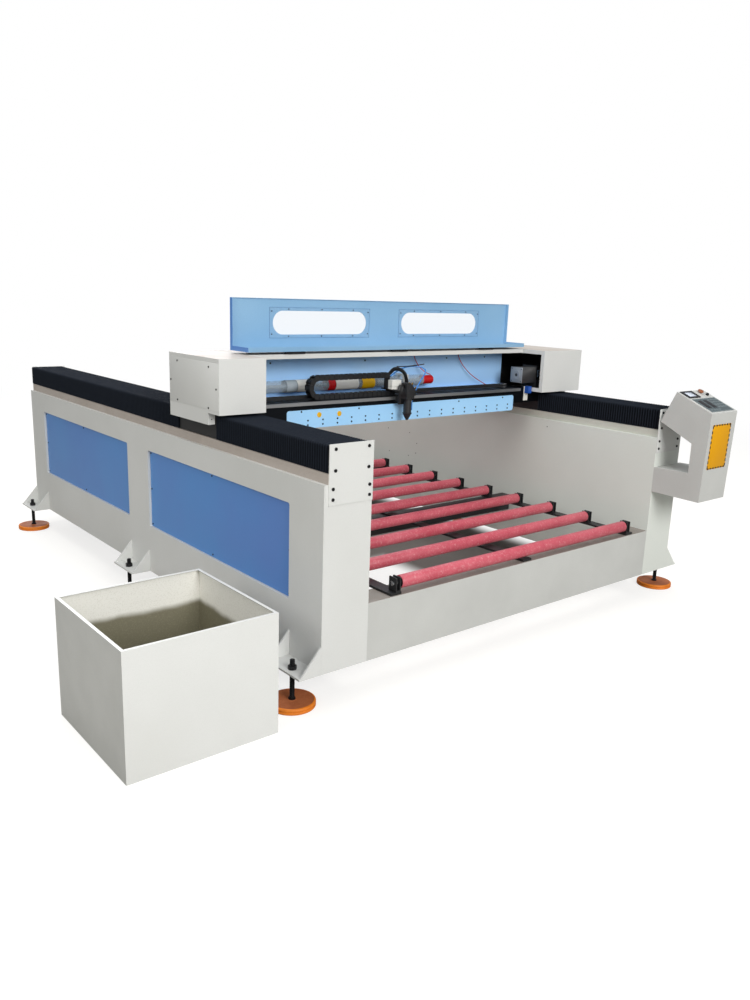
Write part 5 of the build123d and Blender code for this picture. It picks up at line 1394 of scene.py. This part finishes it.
def makeButtons(facts):
    x, y = facts["stop"]
    form = bmesh.new()
    lift = facts["travel"] + 1
    addTurned(form, (x, y, 0), (0, 0, 1), [(-24, 0), (-24, 5.6), (-23, 6), (lift, 6), (lift, 13.5),
                                           (lift + 1.5, 15), (lift + 4.5, 15), (lift + 7.5, 13.6),
                                           (lift + 9.3, 9.5), (lift + 10, 4.5), (lift + 10, 0)], sides=36)
    makePiece("stop_mushroom", form, ("stopRed",), "stop_button", ("stop_button",), "stop_red", turn=topFace)
    x, y = facts["knob"]
    form = bmesh.new()
    addTurned(form, (x, y, 0), (0, 0, 1), [(-16, 0), (-16, 5.6), (-15, 6), (0.3, 6), (0.3, 7.4), (1.2, 8),
                                           (9.5, 8), (11.4, 7), (12.3, 4.6), (12.3, 0)], sides=24)
    addBox(form, (x - 1.1, x + 1.1), (y - 6.5, y + 6.5), (11.6, 12.9), 1, edge=0.4)
    makePiece("key_knob", form, ("mouldedNylon", "zincPlate"), "control_knob", ("control_knob",),
              "black_plastic", turn=topFace)


makeButtons(buttonFacts)

fieldFacts = {"x": (2118.0, 2290.0), "up": (-280.0, -57.0), "dash": (14.0, 8.0), "pitch": 25.0}


def makeField(facts):
    # A plain orange field of vinyl with a broken dark border.
    form = bmesh.new()
    (x0, x1), (y0, y1), (long, wide) = facts["x"], facts["up"], facts["dash"]
    addBox(form, (x0, x1), (y0, y1), (0.05, 0.5), 0, edge=0.15)
    across = round((x1 - x0) / facts["pitch"])
    down = round((y1 - y0) / facts["pitch"])
    for i in range(across):
        x = x0 + (i + 0.5) * (x1 - x0) / across
        for y in (y0, y1 - wide):
            addBox(form, (x - long / 2, x + long / 2), (y, y + wide), (0.5, 0.75), 1)
    for i in range(down):
        y = y0 + (i + 0.5) * (y1 - y0) / down
        for x in (x0, x1 - wide):
            addBox(form, (x, x + wide), (y - long / 2, y + long / 2), (0.5, 0.75), 1)
    makePiece("console_field", form, ("orangeVinyl", "blackVinyl"), "frame", slot="orange_rubber",
              turn=frontFace)


makeField(fieldFacts)

coverFacts = {"x": (2330.1, 2332.0),
              "outline": ((-12.0, 955.0), (-82.0, 1110.0), (-275.5, 1031.0), (-262.5, 588.0),
                          (-2.0, 594.0), (-2.0, 718.0), (-189.0, 721.0), (-188.0, 873.0)),
              "screws": ((-110, 1085), (-255, 1020), (-250, 610), (-20, 612), (-245, 800))}


def makeSideCover(facts):
    form = bmesh.new()
    addPrism(form, facts["outline"], "x", facts["x"], edge=0.6)
    makePiece("console_side_cover", form, ("greyAndShadePowderCoat",), "frame", slot="cream_paint")
    scatter("console_side_screws", [((facts["x"][1], y, z), (1, 0, 0)) for y, z in facts["screws"]],
            "panScrew", "blackOxideSteel", "frame")


makeSideCover(coverFacts)

trayFacts = {"inside": ((-788.0, -224.0), (-50.0, 521.0), (2.0, 455.0))}


def trayPaint(p, n):
    # Painted shadow inside, and painted shade on the side that faces away from the machine, in the greyer
    # coat.
    if isInside(p, n, trayFacts["inside"], 3):
        return 1
    return 2 if facesLeft(n) else 0


redress("accessory_box", ("whitePowderCoat", "creamInside", "greyAndShadePowderCoat"), trayPaint, "frame",
        "cream_paint")
print("console and box made")

for shape in repeatShapes.values():
    bpy.data.objects.remove(shape)

print("scene made")
